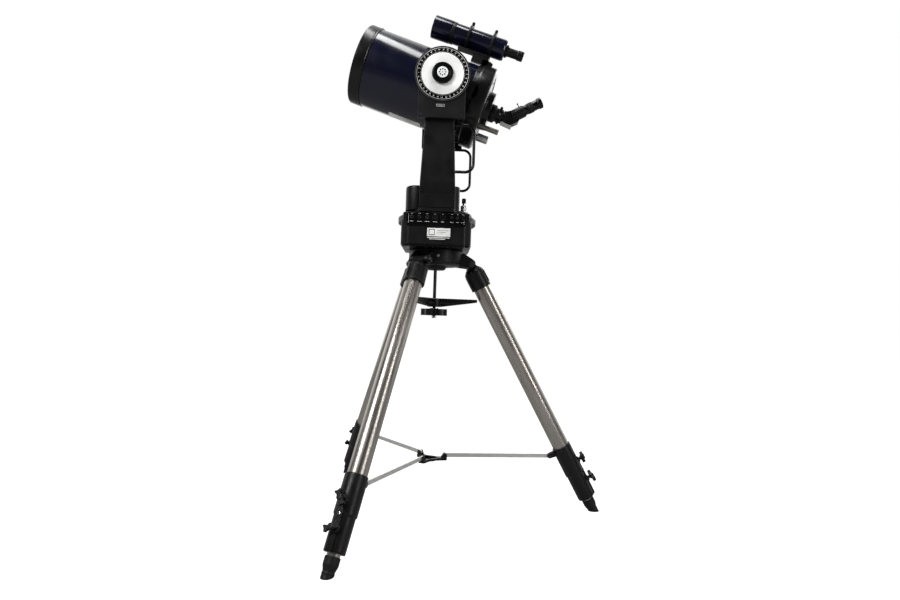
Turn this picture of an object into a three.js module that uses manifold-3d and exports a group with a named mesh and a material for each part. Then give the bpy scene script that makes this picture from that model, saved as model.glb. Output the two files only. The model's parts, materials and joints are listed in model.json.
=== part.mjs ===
// Fork-mounted 8-inch Schmidt-Cassegrain telescope on a folding three-leg field tripod.
// Millimetres, +Z up. The optical tube's front points towards -X and up, and the near fork arm
// stands on the -Y side. The finished group is moved so that its origin is the middle of the
// floor rectangle that the object covers.
import * as THREE from 'three';
import { mergeVertices } from 'three/addons/utils/BufferGeometryUtils.js';
import Module from 'manifold-3d';

const wasm = await Module();
wasm.setup();

// ---------------------------------------------------------------- driving dimensions
const GAP = 0.3; // clearance between separate pieces
const RUNNING = 0.3; // radial clearance of shafts and pins in their holes
const FACETS = 20; // sides of round pieces
const SMALL_FACETS = 10; // sides of knobs, pins and rods
const LARGE_FACETS = 28; // sides of the optical tube and what fits it
const degrees = THREE.MathUtils.degToRad;

// Tripod
const LEG_AZIMUTHS = [6.2, 126.2, 246.2].map(degrees);
const FOOT_RADIUS = 519; // feet, from the azimuth axis
const HINGE_RADIUS = 105; // leg hinges, from the azimuth axis
const HINGE_HEIGHT = 750;
const HEAD_RADIUS = 81.5;
const HEAD_TOP = HINGE_HEIGHT + 36;
const HEAD_BOTTOM = HINGE_HEIGHT - 10;
const HEAD_BOSS_BOTTOM = HINGE_HEIGHT - 22;
const EAR_RADIUS = 14;
const EAR_THICKNESS = 11;
const TONGUE_WIDTH = 34;
const PIVOT_PIN_RADIUS = 5;
const LEG_TUBE_RADIUS = 25.4;
const LEG_TUBE_WALL = 1.6;
const CASTING_LENGTH = 81; // from the hinge down the leg
const CASTING_RADIUS = 30;
const CASTING_FLOOR = 24; // where the tube seats, from the hinge
const COLLAR_START = 628; // down the leg, from the hinge
const COLLAR_STEP = 735; // the leg tube ends here and the extension's bush begins
const COLLAR_END = 807;
const COLLAR_RADIUS = 29;
const COLLAR_SMALL_RADIUS = 23.5;
const EXTENSION_RADIUS = 16;
const EXTENSION_WALL = 2.5;
const EXTENSION_START = 430;
const EXTENSION_END = 836;
const GUIDE_LENGTH = 18;
const BOOT_START = 814;
const BOOT_RADIUS = 18.8;
const BOOT_TIP_RADIUS = 15;
const LOCK_KNOB_PLACES = [692, 757]; // down the leg, from the hinge
const LOCK_WING_SPAN = 40;
const LOCK_WING_THICKNESS = 9;
const LOCK_STEM_RADIUS = 5;
const LOCK_STEM_LENGTH = 7;
const PEDESTAL_RADIUS = 9;
const PEDESTAL_HEIGHT = 4;
const RIB_HALF_WIDTH = 8;
const RIB_RISE = 0.6; // the rib's face above the collar's upper part

// Lower struts, spreader and tension rod
const STRUT_HEIGHT = 169; // strut pivots above the floor
const STRUT_INNER_RADIUS = 45;
const STRUT_OUTER_RADIUS = 373;
const STRUT_DEPTH = 12;
const STRUT_THICKNESS = 4;
const STRUT_PIN_RADIUS = 2.5;
const STRUT_EAR_THICKNESS = 4;
const HUB_PLATE_THICKNESS = 8;
const SPREADER_TOP = 642;
const SPREADER_DEPTH = 26;
const SPREADER_TIP_DEPTH = 9;
const SPREADER_TIP_GAP = 4.6; // from a tip to the leg tube
const SPREADER_TIP_WIDTH = 9;
const SPREADER_BOSS_RADIUS = 21;
const ROD_RADIUS = 5;
const ROD_BOTTOM = 582;
const TENSION_KNOB_RADIUS = 40;
const TENSION_KNOB_BOTTOM = 590;
const TENSION_KNOB_TOP = 610;
const TENSION_KNOB_LOBES = 6;

// Drive base
const BASE_PLATE_THICKNESS = 4;
const DRIVE_HALF_WIDTH = 101.5;
const DRIVE_FRONT = 121.8; // front face, from the azimuth axis
const DRIVE_BACK = 101.5;
const DRIVE_CHAMFER = 19.5;
const DRIVE_HEIGHT = 71.2;
const FRONT_WALL_HALF_WIDTH = 94;
const FRONT_WALL_RISE = 21; // above the housing, in front of the circle
const DRIVE_WALL = 4;
const DRIVE_LID = 6;
const PANEL_CENTRE_X = 0;
const PANEL_WIDTH = 170;
const PANEL_HEIGHT = 38;
const PANEL_THICKNESS = 2.5;
const CIRCLE_RADIUS = 117.5;
const CIRCLE_HEIGHT = 23.7;
const SPINDLE_RADIUS = 30;
const SPINDLE_CLEARANCE = 1;
const GEAR_RADIUS = 74;
const GEAR_THICKNESS = 10;
const GEAR_LIFT = 40; // gear's underside above the base plate
const WORM_RADIUS = 7;

// Fork
const FORK_FLANGE_RADIUS = 105;
const PAD_HALF_Y = 119; // reach of the pads that carry the arms
const FLANGE_THICKNESS = 12;
const HUB_LEFT = -94;
const HUB_RIGHT = 66;
const HUB_HEIGHT = 70;
const ARM_LENGTH = 368.8; // flange top to the declination axis
const ARM_INNER_Y = 122;
const ARM_THICKNESS = 26;
const ARM_FOOT_INSET = 30; // how far the foot steps in from the arm
const ARM_STEP_LOW = 37;
const ARM_STEP_HIGH = 67;
const ARM_FOOT_HALF_WIDTH = 51;
const ARM_NECK_HALF_WIDTH = 42;
const ARM_NECK_HEIGHT = 239;
const ARM_SHOULDER_HEIGHT = 42;
const ARM_HEAD_RADIUS = 60;
const COVER_HALF_WIDTH = 66.5;
const COVER_DROP = 123.7; // cover's lower edge below the declination axis
const COVER_DEPTH = 14;
const COVER_WALL = 3;
const HANDLE_RADIUS = 4.3;
const HANDLE_REACH = 100; // outer bar's centre line, from the azimuth axis
const HANDLE_LOW = 101.7; // lower bar above the flange
const HANDLE_HIGH = 235.7;
const HANDLE_CORNER = 24;
const HANDLE_Y = 130;
const KNOB_PLACE = { x: 79, y: -36 }; // slow-motion knob, from the azimuth axis
const LOCK_PLACE = { x: 80, y: 20 };

// Optical tube: s runs rearward along the tube, n is the upward normal, both from the
// declination axis
const TUBE_TILT = degrees(18.65);
const DEC_X = 4.5; // declination axis, behind the arms' middle
const BODY_S = -5.1; // the tube's own origin, along the tube from the declination axis
const TUBE_RADIUS = 115.5;
const TUBE_WALL = 2;
const FRONT_RIM = -259.5;
const FRONT_CELL_LENGTH = 36;
const FRONT_CELL_RADIUS = 118;
const CORRECTOR_RADIUS = 106.7;
const CORRECTOR_THICKNESS = 5;
const CORRECTOR_LIP = 9;
const HOLDER_NECK_RADIUS = 25.6;
const HOLDER_RADIUS = 38;
const REAR_CELL_START = 85;
const REAR_CELL_RADIUS = 119.5;
const FLANGE_RADIUS = 124;
const FLANGE_START = 99;
const REAR_PLANE = 142;
const REAR_HUB_RADIUS = 60;
const REAR_HUB_END = 161;
const REAR_BORE_RADIUS = 24;
const CHEEK_THICKNESS = 5;
const CHEEK_HALF_HEIGHT = 26;
const TRUNNION_RADIUS = 12;
const MIRROR_RADIUS = 101.6;
const MIRROR_THICKNESS = 22;
const MIRROR_FRONT = 90;
const BAFFLE_RADIUS = 23.5;
const BAFFLE_WALL = 3;
const BAFFLE_START = -60;
const DIAL_RADIUS = 77.8;
const DIAL_THICKNESS = 4;
const DEC_KNOB_RADIUS = 31;
const DEC_KNOB_DEPTH = 10;

// Finder and rear fittings
const FINDER_Y = -30;
const FINDER_N = 179.5;
const FINDER_RADIUS = 31;
const FINDER_FRONT = -90;
const FINDER_CELL_RADIUS = 33.5;
const FINDER_CELL_END = -22;
const FINDER_END = 140;
const FINDER_EYE_RADIUS = 14.5;
const FINDER_EYE_END = 196.5;
const FINDER_TILT = degrees(-1.5); // set against the tube by the ring screws
const FINDER_PIVOT = 58;
const STALK_FRONT = 52;
const STALK_BACK = 103;
const RING_PLACES = [22, 95];
const RING_WIDTH = 8;
const RING_CLEARANCE = 2.5;
const RING_WALL = 4;
const RING_SCREW_RADIUS = 3;
const RING_SCREW_REACH = 15;
const VISUAL_BACK_END = 200;
const VISUAL_BACK_RADIUS = 27;
const NOSE_RADIUS = 15.9;
const DIAGONAL_CENTRE = [225, 9];
const DIAGONAL_BEND = degrees(47);
const DIAGONAL_HALF_WIDTH = 17;
const EYEPIECE_SEAT = 45; // end of the eyepiece holder, from the diagonal's centre
const EYEPIECE_LENGTH = 104;
const FOCUS_KNOB = { y: -20, n: -90, radius: 12.5, length: 42 };
const MIRROR_LOCK = { y: -45, n: -64, radius: 8, length: 64 };

// ---------------------------------------------------------------- values that follow
const LEG_TILT = Math.atan2(FOOT_RADIUS - HINGE_RADIUS, HINGE_HEIGHT);
const BASE_PLATE_Z = HEAD_TOP + GAP;
const DRIVE_Z = BASE_PLATE_Z + BASE_PLATE_THICKNESS + GAP;
const DRIVE_TOP = DRIVE_Z + DRIVE_HEIGHT;
const CIRCLE_Z = DRIVE_TOP + GAP;
const FLANGE_Z = CIRCLE_Z + CIRCLE_HEIGHT + GAP;
const FLANGE_TOP = FLANGE_Z + FLANGE_THICKNESS;
const DEC_HEIGHT = FLANGE_TOP + ARM_LENGTH;
const ARM_OUTER_Y = ARM_INNER_Y + ARM_THICKNESS;
const COVER_Y = ARM_OUTER_Y + GAP;
const COVER_OUTER_Y = COVER_Y + COVER_DEPTH;
const DIAL_Y = COVER_OUTER_Y + GAP;
const CHEEK_OUTER_Y = ARM_INNER_Y - 2 * GAP;
const FRONT_CELL_END = FRONT_RIM + FRONT_CELL_LENGTH;
const CORRECTOR_FRONT = FRONT_RIM + CORRECTOR_LIP;

// ---------------------------------------------------------------- finishes
const finish = (color, roughness, metalness) => new THREE.MeshStandardMaterial({ color, roughness, metalness });
const BLUE_PAINT = finish(0x0b1030, 0.25, 0.2);
const BLACK_PAINT = finish(0x141416, 0.45, 0.2);
const GREY_PAINT = finish(0x2b2c30, 0.45, 0.3);
const BLACK_PLASTIC = finish(0x101011, 0.5, 0);
const STAINLESS = finish(0xb5ada2, 0.28, 1);
const SILVER = finish(0xc9c9c6, 0.35, 1);
const CHROME = finish(0xd8d8dc, 0.12, 1);
const RUBBER = finish(0x0c0c0c, 0.8, 0);
const GLASS = finish(0xbfd4cc, 0.05, 0);
const MIRROR = finish(0xe6eaee, 0.03, 1);
const BRASS = finish(0xb08d3c, 0.35, 1);
const WHITE_PLASTIC = finish(0xe9eaea, 0.5, 0);

// ---------------------------------------------------------------- shape helpers
// A closed solid that booleans can use: shared vertices merged, no zero-area triangles.
function toSolid(geometry) {
  const bare = geometry.clone();
  bare.deleteAttribute('normal');
  bare.deleteAttribute('uv');
  const merged = mergeVertices(bare, 1e-4);
  const triangles = [];
  const index = merged.index.array;
  for (let i = 0; i < index.length; i += 3) {
    const [a, b, c] = index.subarray(i, i + 3);
    if (a !== b && b !== c && c !== a) triangles.push(a, b, c);
  }
  return new wasm.Manifold(new wasm.Mesh({
    numProp: 3,
    vertProperties: merged.attributes.position.array,
    triVerts: new Uint32Array(triangles),
  }));
}

function toGeometry(solid) {
  const mesh = solid.getMesh();
  const geometry = new THREE.BufferGeometry();
  geometry.setAttribute('position', new THREE.BufferAttribute(mesh.vertProperties, 3));
  geometry.setIndex(new THREE.BufferAttribute(mesh.triVerts, 1));
  geometry.computeVertexNormals();
  return geometry;
}

function join(first, ...others) {
  return toGeometry(others.reduce((solid, other) => solid.add(toSolid(other)), toSolid(first)));
}

function cut(base, ...tools) {
  return toGeometry(tools.reduce((solid, tool) => solid.subtract(toSolid(tool)), toSolid(base)));
}

function common(first, second) {
  return toGeometry(toSolid(first).intersect(toSolid(second)));
}

// A profile of [radius, height] points turned about an axis. It starts and ends on the axis,
// or it is a loop that closes on itself.
function turned(profile, axis = 'z', facets = FACETS) {
  const points = profile.map(([radius, height]) => new THREE.Vector2(radius, height));
  if (THREE.ShapeUtils.area(points) < 0) points.reverse();
  if (points[0].x > 0) points.push(points[0].clone());
  const geometry = new THREE.LatheGeometry(points, facets);
  if (axis === 'z') geometry.rotateX(Math.PI / 2);
  if (axis === 'x') geometry.rotateZ(-Math.PI / 2);
  return geometry;
}

// A solid round bar along an axis, from one height to another.
function bar(radius, from, to, axis = 'z', facets = SMALL_FACETS) {
  const [low, high] = [Math.min(from, to), Math.max(from, to)];
  return turned([[0, low], [radius, low], [radius, high], [0, high]], axis, facets);
}

// A ring or pipe along an axis.
function pipe(outer, inner, from, to, axis = 'z', facets = FACETS) {
  return turned([[inner, from], [outer, from], [outer, to], [inner, to]], axis, facets);
}

function block(x, y, z) {
  const geometry = new THREE.BoxGeometry(x[1] - x[0], y[1] - y[0], z[1] - z[0]);
  return geometry.translate((x[0] + x[1]) / 2, (y[0] + y[1]) / 2, (z[0] + z[1]) / 2);
}

// A plate whose outline lies in the XY plane, thick from one height to another.
function plate(outline, from, to) {
  const options = { depth: to - from, bevelEnabled: false, curveSegments: 5 };
  return new THREE.ExtrudeGeometry(outline, options).translate(0, 0, from);
}

// A plate whose outline is drawn as (x, z), thick along Y.
function sidePlate(outline, from, to) {
  return plate(outline, -to, -from).rotateX(Math.PI / 2);
}

function outlineOf(points) {
  return new THREE.Shape(points.map(([x, y]) => new THREE.Vector2(x, y)));
}

// The drive base's outline, drawn in by an inset.
function driveOutline(inset) {
  const x = DRIVE_HALF_WIDTH - inset;
  const front = inset - DRIVE_FRONT;
  const back = DRIVE_BACK - inset;
  const corner = DRIVE_CHAMFER - inset / 2;
  return outlineOf([
    [-x, front + corner], [corner - x, front], [x - corner, front], [x, front + corner],
    [x, back - corner], [x - corner, back], [corner - x, back], [-x, back - corner],
  ]);
}

function roundedRectangle(left, right, low, high, radius) {
  const shape = new THREE.Shape();
  shape.absarc(right - radius, high - radius, radius, 0, Math.PI / 2);
  shape.absarc(left + radius, high - radius, radius, Math.PI / 2, Math.PI);
  shape.absarc(left + radius, low + radius, radius, Math.PI, Math.PI * 1.5);
  shape.absarc(right - radius, low + radius, radius, Math.PI * 1.5, Math.PI * 2);
  return shape;
}

function part(name, geometry, material) {
  const mesh = new THREE.Mesh(geometry, material);
  mesh.name = name;
  return mesh;
}

// ---------------------------------------------------------------- tripod head and rod
// Two ears for one leg, drawn as (distance from the azimuth axis, height).
function headEars() {
  const outline = new THREE.Shape();
  const root = HEAD_RADIUS - 22;
  outline.moveTo(root, HEAD_BOTTOM + 1);
  outline.lineTo(HINGE_RADIUS, HINGE_HEIGHT - EAR_RADIUS);
  outline.absarc(HINGE_RADIUS, HINGE_HEIGHT, EAR_RADIUS, -Math.PI / 2, Math.PI / 3);
  outline.lineTo(HEAD_RADIUS + 2, HEAD_TOP - 7);
  outline.lineTo(root, HEAD_TOP - 7);
  const inner = TONGUE_WIDTH / 2 + GAP;
  const hole = bar(PIVOT_PIN_RADIUS + RUNNING, -60, 60, 'y').translate(HINGE_RADIUS, 0, HINGE_HEIGHT);
  const near = sidePlate(outline, -inner - EAR_THICKNESS, -inner);
  const far = sidePlate(outline, inner, inner + EAR_THICKNESS);
  return cut(join(near, far), hole);
}

function tripodHead() {
  const bore = ROD_RADIUS + RUNNING;
  const body = turned([
    [bore, HEAD_BOSS_BOTTOM], [30, HEAD_BOSS_BOTTOM], [34, HEAD_BOTTOM], [HEAD_RADIUS - 4, HEAD_BOTTOM],
    [HEAD_RADIUS, HEAD_BOTTOM + 5], [HEAD_RADIUS, HEAD_TOP], [bore, HEAD_TOP],
  ]);
  const ears = LEG_AZIMUTHS.map((azimuth) => headEars().rotateZ(azimuth));
  const tongueHalf = TONGUE_WIDTH / 2 + GAP;
  const slots = LEG_AZIMUTHS.map((azimuth) => {
    const reach = [HINGE_RADIUS - EAR_RADIUS - 2, HINGE_RADIUS + 40];
    return block(reach, [-tongueHalf, tongueHalf], [HEAD_BOTTOM - 20, HEAD_TOP - 4]).rotateZ(azimuth);
  });
  return cut(join(body, ...ears), ...slots);
}

function tensionRod() {
  return bar(ROD_RADIUS, ROD_BOTTOM, BASE_PLATE_Z + BASE_PLATE_THICKNESS - GAP);
}

function spreader() {
  const legSlope = Math.tan(LEG_TILT);
  const legInner = HINGE_RADIUS + (HINGE_HEIGHT - SPREADER_TOP) * legSlope - LEG_TUBE_RADIUS / Math.cos(LEG_TILT);
  const tip = legInner - SPREADER_TIP_GAP;
  const side = outlineOf([
    [0, SPREADER_TOP - SPREADER_DEPTH], [SPREADER_BOSS_RADIUS, SPREADER_TOP - SPREADER_DEPTH],
    [tip, SPREADER_TOP - SPREADER_TIP_DEPTH], [tip, SPREADER_TOP], [0, SPREADER_TOP],
  ]);
  const top = outlineOf([
    [0, -SPREADER_BOSS_RADIUS * 0.7], [tip, -SPREADER_TIP_WIDTH / 2],
    [tip, SPREADER_TIP_WIDTH / 2], [0, SPREADER_BOSS_RADIUS * 0.7],
  ]);
  const arm = common(
    sidePlate(side, -SPREADER_BOSS_RADIUS, SPREADER_BOSS_RADIUS),
    plate(top, SPREADER_TOP - 2 * SPREADER_DEPTH, SPREADER_TOP + SPREADER_DEPTH),
  );
  const boss = bar(SPREADER_BOSS_RADIUS, SPREADER_TOP - SPREADER_DEPTH, SPREADER_TOP, 'z', FACETS);
  const arms = LEG_AZIMUTHS.map((azimuth) => arm.clone().rotateZ(azimuth));
  const bore = bar(ROD_RADIUS + RUNNING, 0, HINGE_HEIGHT);
  return cut(join(boss, ...arms), bore);
}

function tensionKnob() {
  const outline = new THREE.Shape();
  const steps = TENSION_KNOB_LOBES * 8;
  for (let i = 0; i < steps; i += 1) {
    const angle = (i / steps) * Math.PI * 2;
    const radius = TENSION_KNOB_RADIUS - 3.5 + 3.5 * Math.cos(angle * TENSION_KNOB_LOBES);
    const point = [radius * Math.cos(angle), radius * Math.sin(angle)];
    if (i === 0) outline.moveTo(...point);
    else outline.lineTo(...point);
  }
  const wheel = plate(outline, TENSION_KNOB_BOTTOM, TENSION_KNOB_TOP);
  return cut(wheel, bar(ROD_RADIUS + RUNNING, 0, HINGE_HEIGHT));
}

// ---------------------------------------------------------------- legs
// Drawn with the hinge at the origin, the leg running down -Z and +X facing outward.
function legCasting() {
  const half = TONGUE_WIDTH / 2;
  const knuckle = bar(EAR_RADIUS - 1, -half, half, 'y', FACETS);
  const neck = block([1 - EAR_RADIUS, EAR_RADIUS - 1], [-half, half], [2 - CASTING_FLOOR, 0]);
  const socketTop = EAR_RADIUS + 2;
  const socket = turned([
    [0, -CASTING_FLOOR], [LEG_TUBE_RADIUS + GAP, -CASTING_FLOOR], [LEG_TUBE_RADIUS + GAP, -CASTING_LENGTH],
    [CASTING_RADIUS, -CASTING_LENGTH], [CASTING_RADIUS, -socketTop - 10], [CASTING_RADIUS - 8, -socketTop],
    [0, -socketTop],
  ]);
  const pinHalf = half + GAP + EAR_THICKNESS;
  const pin = bar(PIVOT_PIN_RADIUS, -pinHalf, pinHalf, 'y');
  return join(socket, neck, knuckle, pin);
}

function legTube() {
  const top = -CASTING_FLOOR - GAP;
  return pipe(LEG_TUBE_RADIUS, LEG_TUBE_RADIUS - LEG_TUBE_WALL, -COLLAR_STEP + GAP, top);
}

// Where the strut's outer pivot falls in the leg's own axes.
function strutPivotOnLeg() {
  const out = STRUT_OUTER_RADIUS - HINGE_RADIUS;
  const down = HINGE_HEIGHT - STRUT_HEIGHT;
  return {
    x: out * Math.cos(LEG_TILT) - down * Math.sin(LEG_TILT),
    z: -out * Math.sin(LEG_TILT) - down * Math.cos(LEG_TILT),
  };
}

function legCollar() {
  const pivot = strutPivotOnLeg();
  const sleeve = turned([
    [LEG_TUBE_RADIUS + GAP, -COLLAR_START], [COLLAR_RADIUS, -COLLAR_START], [COLLAR_RADIUS, -COLLAR_STEP + 8],
    [COLLAR_SMALL_RADIUS, -COLLAR_STEP], [COLLAR_SMALL_RADIUS, -COLLAR_END],
    [EXTENSION_RADIUS + GAP, -COLLAR_END], [EXTENSION_RADIUS + GAP, -COLLAR_STEP],
    [LEG_TUBE_RADIUS + GAP, -COLLAR_STEP],
  ]);
  const ribTop = LOCK_KNOB_PLACES[0] - 12;
  const ribX = [COLLAR_SMALL_RADIUS - 4, COLLAR_RADIUS + RIB_RISE];
  const rib = block(ribX, [-RIB_HALF_WIDTH, RIB_HALF_WIDTH], [-COLLAR_END, -ribTop]);
  const pedestals = LOCK_KNOB_PLACES.map((place) => {
    return bar(PEDESTAL_RADIUS, COLLAR_SMALL_RADIUS - 4, COLLAR_RADIUS + PEDESTAL_HEIGHT, 'x')
      .translate(0, 0, -place);
  });
  const slotHalf = STRUT_THICKNESS / 2 + GAP;
  const earHalf = slotHalf + STRUT_EAR_THICKNESS;
  const lug = block([pivot.x - 7, 1 - COLLAR_RADIUS], [-earHalf, earHalf], [pivot.z - 7, pivot.z + 7]);
  const slotEnd = pivot.x + STRUT_DEPTH / 2 + 2;
  const slot = block([pivot.x - 9, slotEnd], [-slotHalf, slotHalf], [pivot.z - 9, pivot.z + 9]);
  const pin = bar(STRUT_PIN_RADIUS, -earHalf, earHalf, 'y').translate(pivot.x, 0, pivot.z);
  const room = bar(LEG_TUBE_RADIUS + GAP, -COLLAR_STEP, 0, 'z', FACETS);
  const bush = bar(EXTENSION_RADIUS + GAP, -COLLAR_END - 5, -COLLAR_START, 'z', FACETS);
  return join(cut(join(sleeve, lug, rib, ...pedestals), slot, room, bush), pin);
}

function legExtension() {
  const guide = LEG_TUBE_RADIUS - LEG_TUBE_WALL - GAP;
  const inner = EXTENSION_RADIUS - EXTENSION_WALL;
  return turned([
    [inner, -EXTENSION_START], [guide, -EXTENSION_START], [guide, -EXTENSION_START - GUIDE_LENGTH],
    [EXTENSION_RADIUS, -EXTENSION_START - GUIDE_LENGTH], [EXTENSION_RADIUS, -EXTENSION_END],
    [inner, -EXTENSION_END],
  ]);
}

// The boot is cut off flat where it meets the floor.
function foot(legMatrix) {
  const socket = EXTENSION_RADIUS + GAP;
  const boot = turned([
    [0, -EXTENSION_END - GAP], [socket, -EXTENSION_END - GAP], [socket, -BOOT_START],
    [BOOT_RADIUS, -BOOT_START], [BOOT_RADIUS, -EXTENSION_END], [BOOT_TIP_RADIUS, -EXTENSION_END - 6],
    [BOOT_TIP_RADIUS, -EXTENSION_END - 60], [0, -EXTENSION_END - 60],
  ], 'z', FACETS);
  const belowFloor = block([FOOT_RADIUS - 150, FOOT_RADIUS + 150], [-100, 100], [-200, 0]);
  return cut(boot, belowFloor.applyMatrix4(legMatrix.clone().invert()));
}

function lockKnob() {
  const span = LOCK_WING_SPAN / 2;
  const wing = new THREE.Shape();
  wing.moveTo(-span + 6, -6);
  wing.quadraticCurveTo(0, -2, span - 6, -6);
  wing.absarc(span - 6, 0, 6, -Math.PI / 2, Math.PI / 2);
  wing.quadraticCurveTo(0, 2, -span + 6, 6);
  wing.absarc(-span + 6, 0, 6, Math.PI / 2, Math.PI * 1.5);
  const top = LOCK_STEM_LENGTH + LOCK_WING_THICKNESS;
  const boss = bar(LOCK_STEM_RADIUS + 3, LOCK_STEM_LENGTH - 3, top + 2);
  const knob = join(bar(LOCK_STEM_RADIUS, 0, top), boss, plate(wing, LOCK_STEM_LENGTH, top));
  return knob.rotateY(Math.PI / 2);
}

function strut() {
  const half = STRUT_DEPTH / 2;
  const outline = new THREE.Shape();
  outline.absarc(STRUT_OUTER_RADIUS, STRUT_HEIGHT, half, -Math.PI / 2, Math.PI / 2);
  outline.absarc(STRUT_INNER_RADIUS, STRUT_HEIGHT, half, Math.PI / 2, Math.PI * 1.5);
  const flat = sidePlate(outline, -STRUT_THICKNESS / 2, STRUT_THICKNESS / 2);
  const hole = bar(STRUT_PIN_RADIUS + RUNNING, -20, 20, 'y').translate(STRUT_OUTER_RADIUS, 0, STRUT_HEIGHT);
  return cut(flat, hole);
}

// The hub's plate passes under the struts' inner ends, between three pairs of ears.
function strutHub() {
  const plateTop = STRUT_HEIGHT - STRUT_DEPTH / 2 - 2 * GAP;
  const plateBottom = plateTop - HUB_PLATE_THICKNESS;
  const slotHalf = STRUT_THICKNESS / 2 + 2 * GAP;
  const earHalf = slotHalf + STRUT_EAR_THICKNESS;
  const reach = STRUT_INNER_RADIUS + STRUT_DEPTH / 2 + 3;
  const lobes = LEG_AZIMUTHS.map((azimuth) => {
    const lobe = block([0, reach], [-earHalf - 3, earHalf + 3], [plateBottom, plateTop]);
    const ears = block([reach - 22, reach], [-earHalf, earHalf], [plateBottom, STRUT_HEIGHT + 7]);
    const slot = block([0, reach + 5], [-slotHalf, slotHalf], [plateTop, STRUT_HEIGHT + 20]);
    return join(lobe, cut(ears, slot)).rotateZ(azimuth);
  });
  return join(bar(24, plateBottom, plateTop, 'z', FACETS), ...lobes);
}

function addLeg(tripod, azimuth, number) {
  const side = new THREE.Group();
  side.rotation.z = azimuth;
  const leg = new THREE.Group();
  leg.position.set(HINGE_RADIUS, 0, HINGE_HEIGHT);
  leg.rotation.y = -LEG_TILT;
  leg.updateMatrix();
  leg.add(part(`leg_casting_${number}`, legCasting(), BLACK_PAINT));
  leg.add(part(`leg_tube_${number}`, legTube(), STAINLESS));
  leg.add(part(`leg_collar_${number}`, legCollar(), BLACK_PLASTIC));
  leg.add(part(`leg_extension_${number}`, legExtension(), STAINLESS));
  leg.add(part(`foot_${number}`, foot(leg.matrix), RUBBER));
  ['upper', 'lower'].forEach((place, index) => {
    const knob = part(`lock_knob_${place}_${number}`, lockKnob(), BLACK_PLASTIC);
    knob.position.set(COLLAR_RADIUS + PEDESTAL_HEIGHT + GAP, 0, -LOCK_KNOB_PLACES[index]);
    knob.rotation.x = degrees(35 + 80 * index);
    leg.add(knob);
  });
  side.add(leg, part(`strut_${number}`, strut(), SILVER));
  tripod.add(side);
}

// ---------------------------------------------------------------- drive base
function basePlate() {
  const slab = plate(driveOutline(3), BASE_PLATE_Z, BASE_PLATE_Z + BASE_PLATE_THICKNESS);
  return cut(slab, bar(ROD_RADIUS + RUNNING, 0, DRIVE_TOP));
}

function driveBase() {
  const shell = plate(driveOutline(0), DRIVE_Z, DRIVE_TOP);
  const wallBack = -CIRCLE_RADIUS - 3 * GAP;
  const wallX = [-FRONT_WALL_HALF_WIDTH, FRONT_WALL_HALF_WIDTH];
  const wall = block(wallX, [-DRIVE_FRONT, wallBack], [DRIVE_TOP - 5, DRIVE_TOP + FRONT_WALL_RISE]);
  const chin = common(wall, plate(driveOutline(0), DRIVE_Z, DRIVE_TOP + 50));
  const cavity = plate(driveOutline(DRIVE_WALL), DRIVE_Z - 5, DRIVE_TOP - DRIVE_LID);
  const hole = bar(SPINDLE_RADIUS + SPINDLE_CLEARANCE, DRIVE_Z, DRIVE_TOP + 5, 'z', FACETS);
  return cut(join(shell, chin), cavity, hole);
}

function powerPanel() {
  const back = -DRIVE_FRONT - GAP;
  const front = back - PANEL_THICKNESS;
  const middle = DRIVE_TOP + FRONT_WALL_RISE - 1 - PANEL_HEIGHT / 2;
  const reach = [PANEL_CENTRE_X - PANEL_WIDTH / 2, PANEL_CENTRE_X + PANEL_WIDTH / 2];
  const board = block(reach, [front, back], [middle - PANEL_HEIGHT / 2, middle + PANEL_HEIGHT / 2]);
  const sockets = [-70, -48, -26, 44, 68].map((x) => {
    return bar(5.5, front - 2, front + 1, 'y', SMALL_FACETS).translate(PANEL_CENTRE_X + x, 0, middle);
  });
  const ports = [0, 20].map((x) => {
    return block([x - 7, x + 7], [front - 2, front + 1], [middle - 6, middle + 6]);
  });
  return join(board, ...sockets, ...ports);
}

function azimuthCircle() {
  const bore = SPINDLE_RADIUS + 4;
  const top = CIRCLE_Z + CIRCLE_HEIGHT;
  return turned([
    [bore, CIRCLE_Z], [CIRCLE_RADIUS - 4, CIRCLE_Z], [CIRCLE_RADIUS, CIRCLE_Z + 4],
    [CIRCLE_RADIUS, top - 4], [CIRCLE_RADIUS - 4, top], [bore, top],
  ]);
}

function azimuthGear() {
  const low = DRIVE_Z + GEAR_LIFT;
  return pipe(GEAR_RADIUS, SPINDLE_RADIUS + GAP, low, low + GEAR_THICKNESS);
}

// Motor and worm, beside the gear.
function azimuthMotor() {
  const y = GEAR_RADIUS + WORM_RADIUS + GAP;
  const z = DRIVE_Z + GEAR_LIFT + GEAR_THICKNESS / 2;
  const worm = bar(WORM_RADIUS, -32, 34, 'x').translate(0, y, z);
  const motor = block([34, 68], [y - 13, y + 13], [z - 13, z + 13]);
  const bearing = block([-40, -32], [y - 9, y + 9], [DRIVE_Z + GAP, z + 9]);
  const post = block([38, 64], [y - 9, y + 9], [DRIVE_Z + GAP, z - 12]);
  return join(worm, motor, bearing, post);
}

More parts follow.
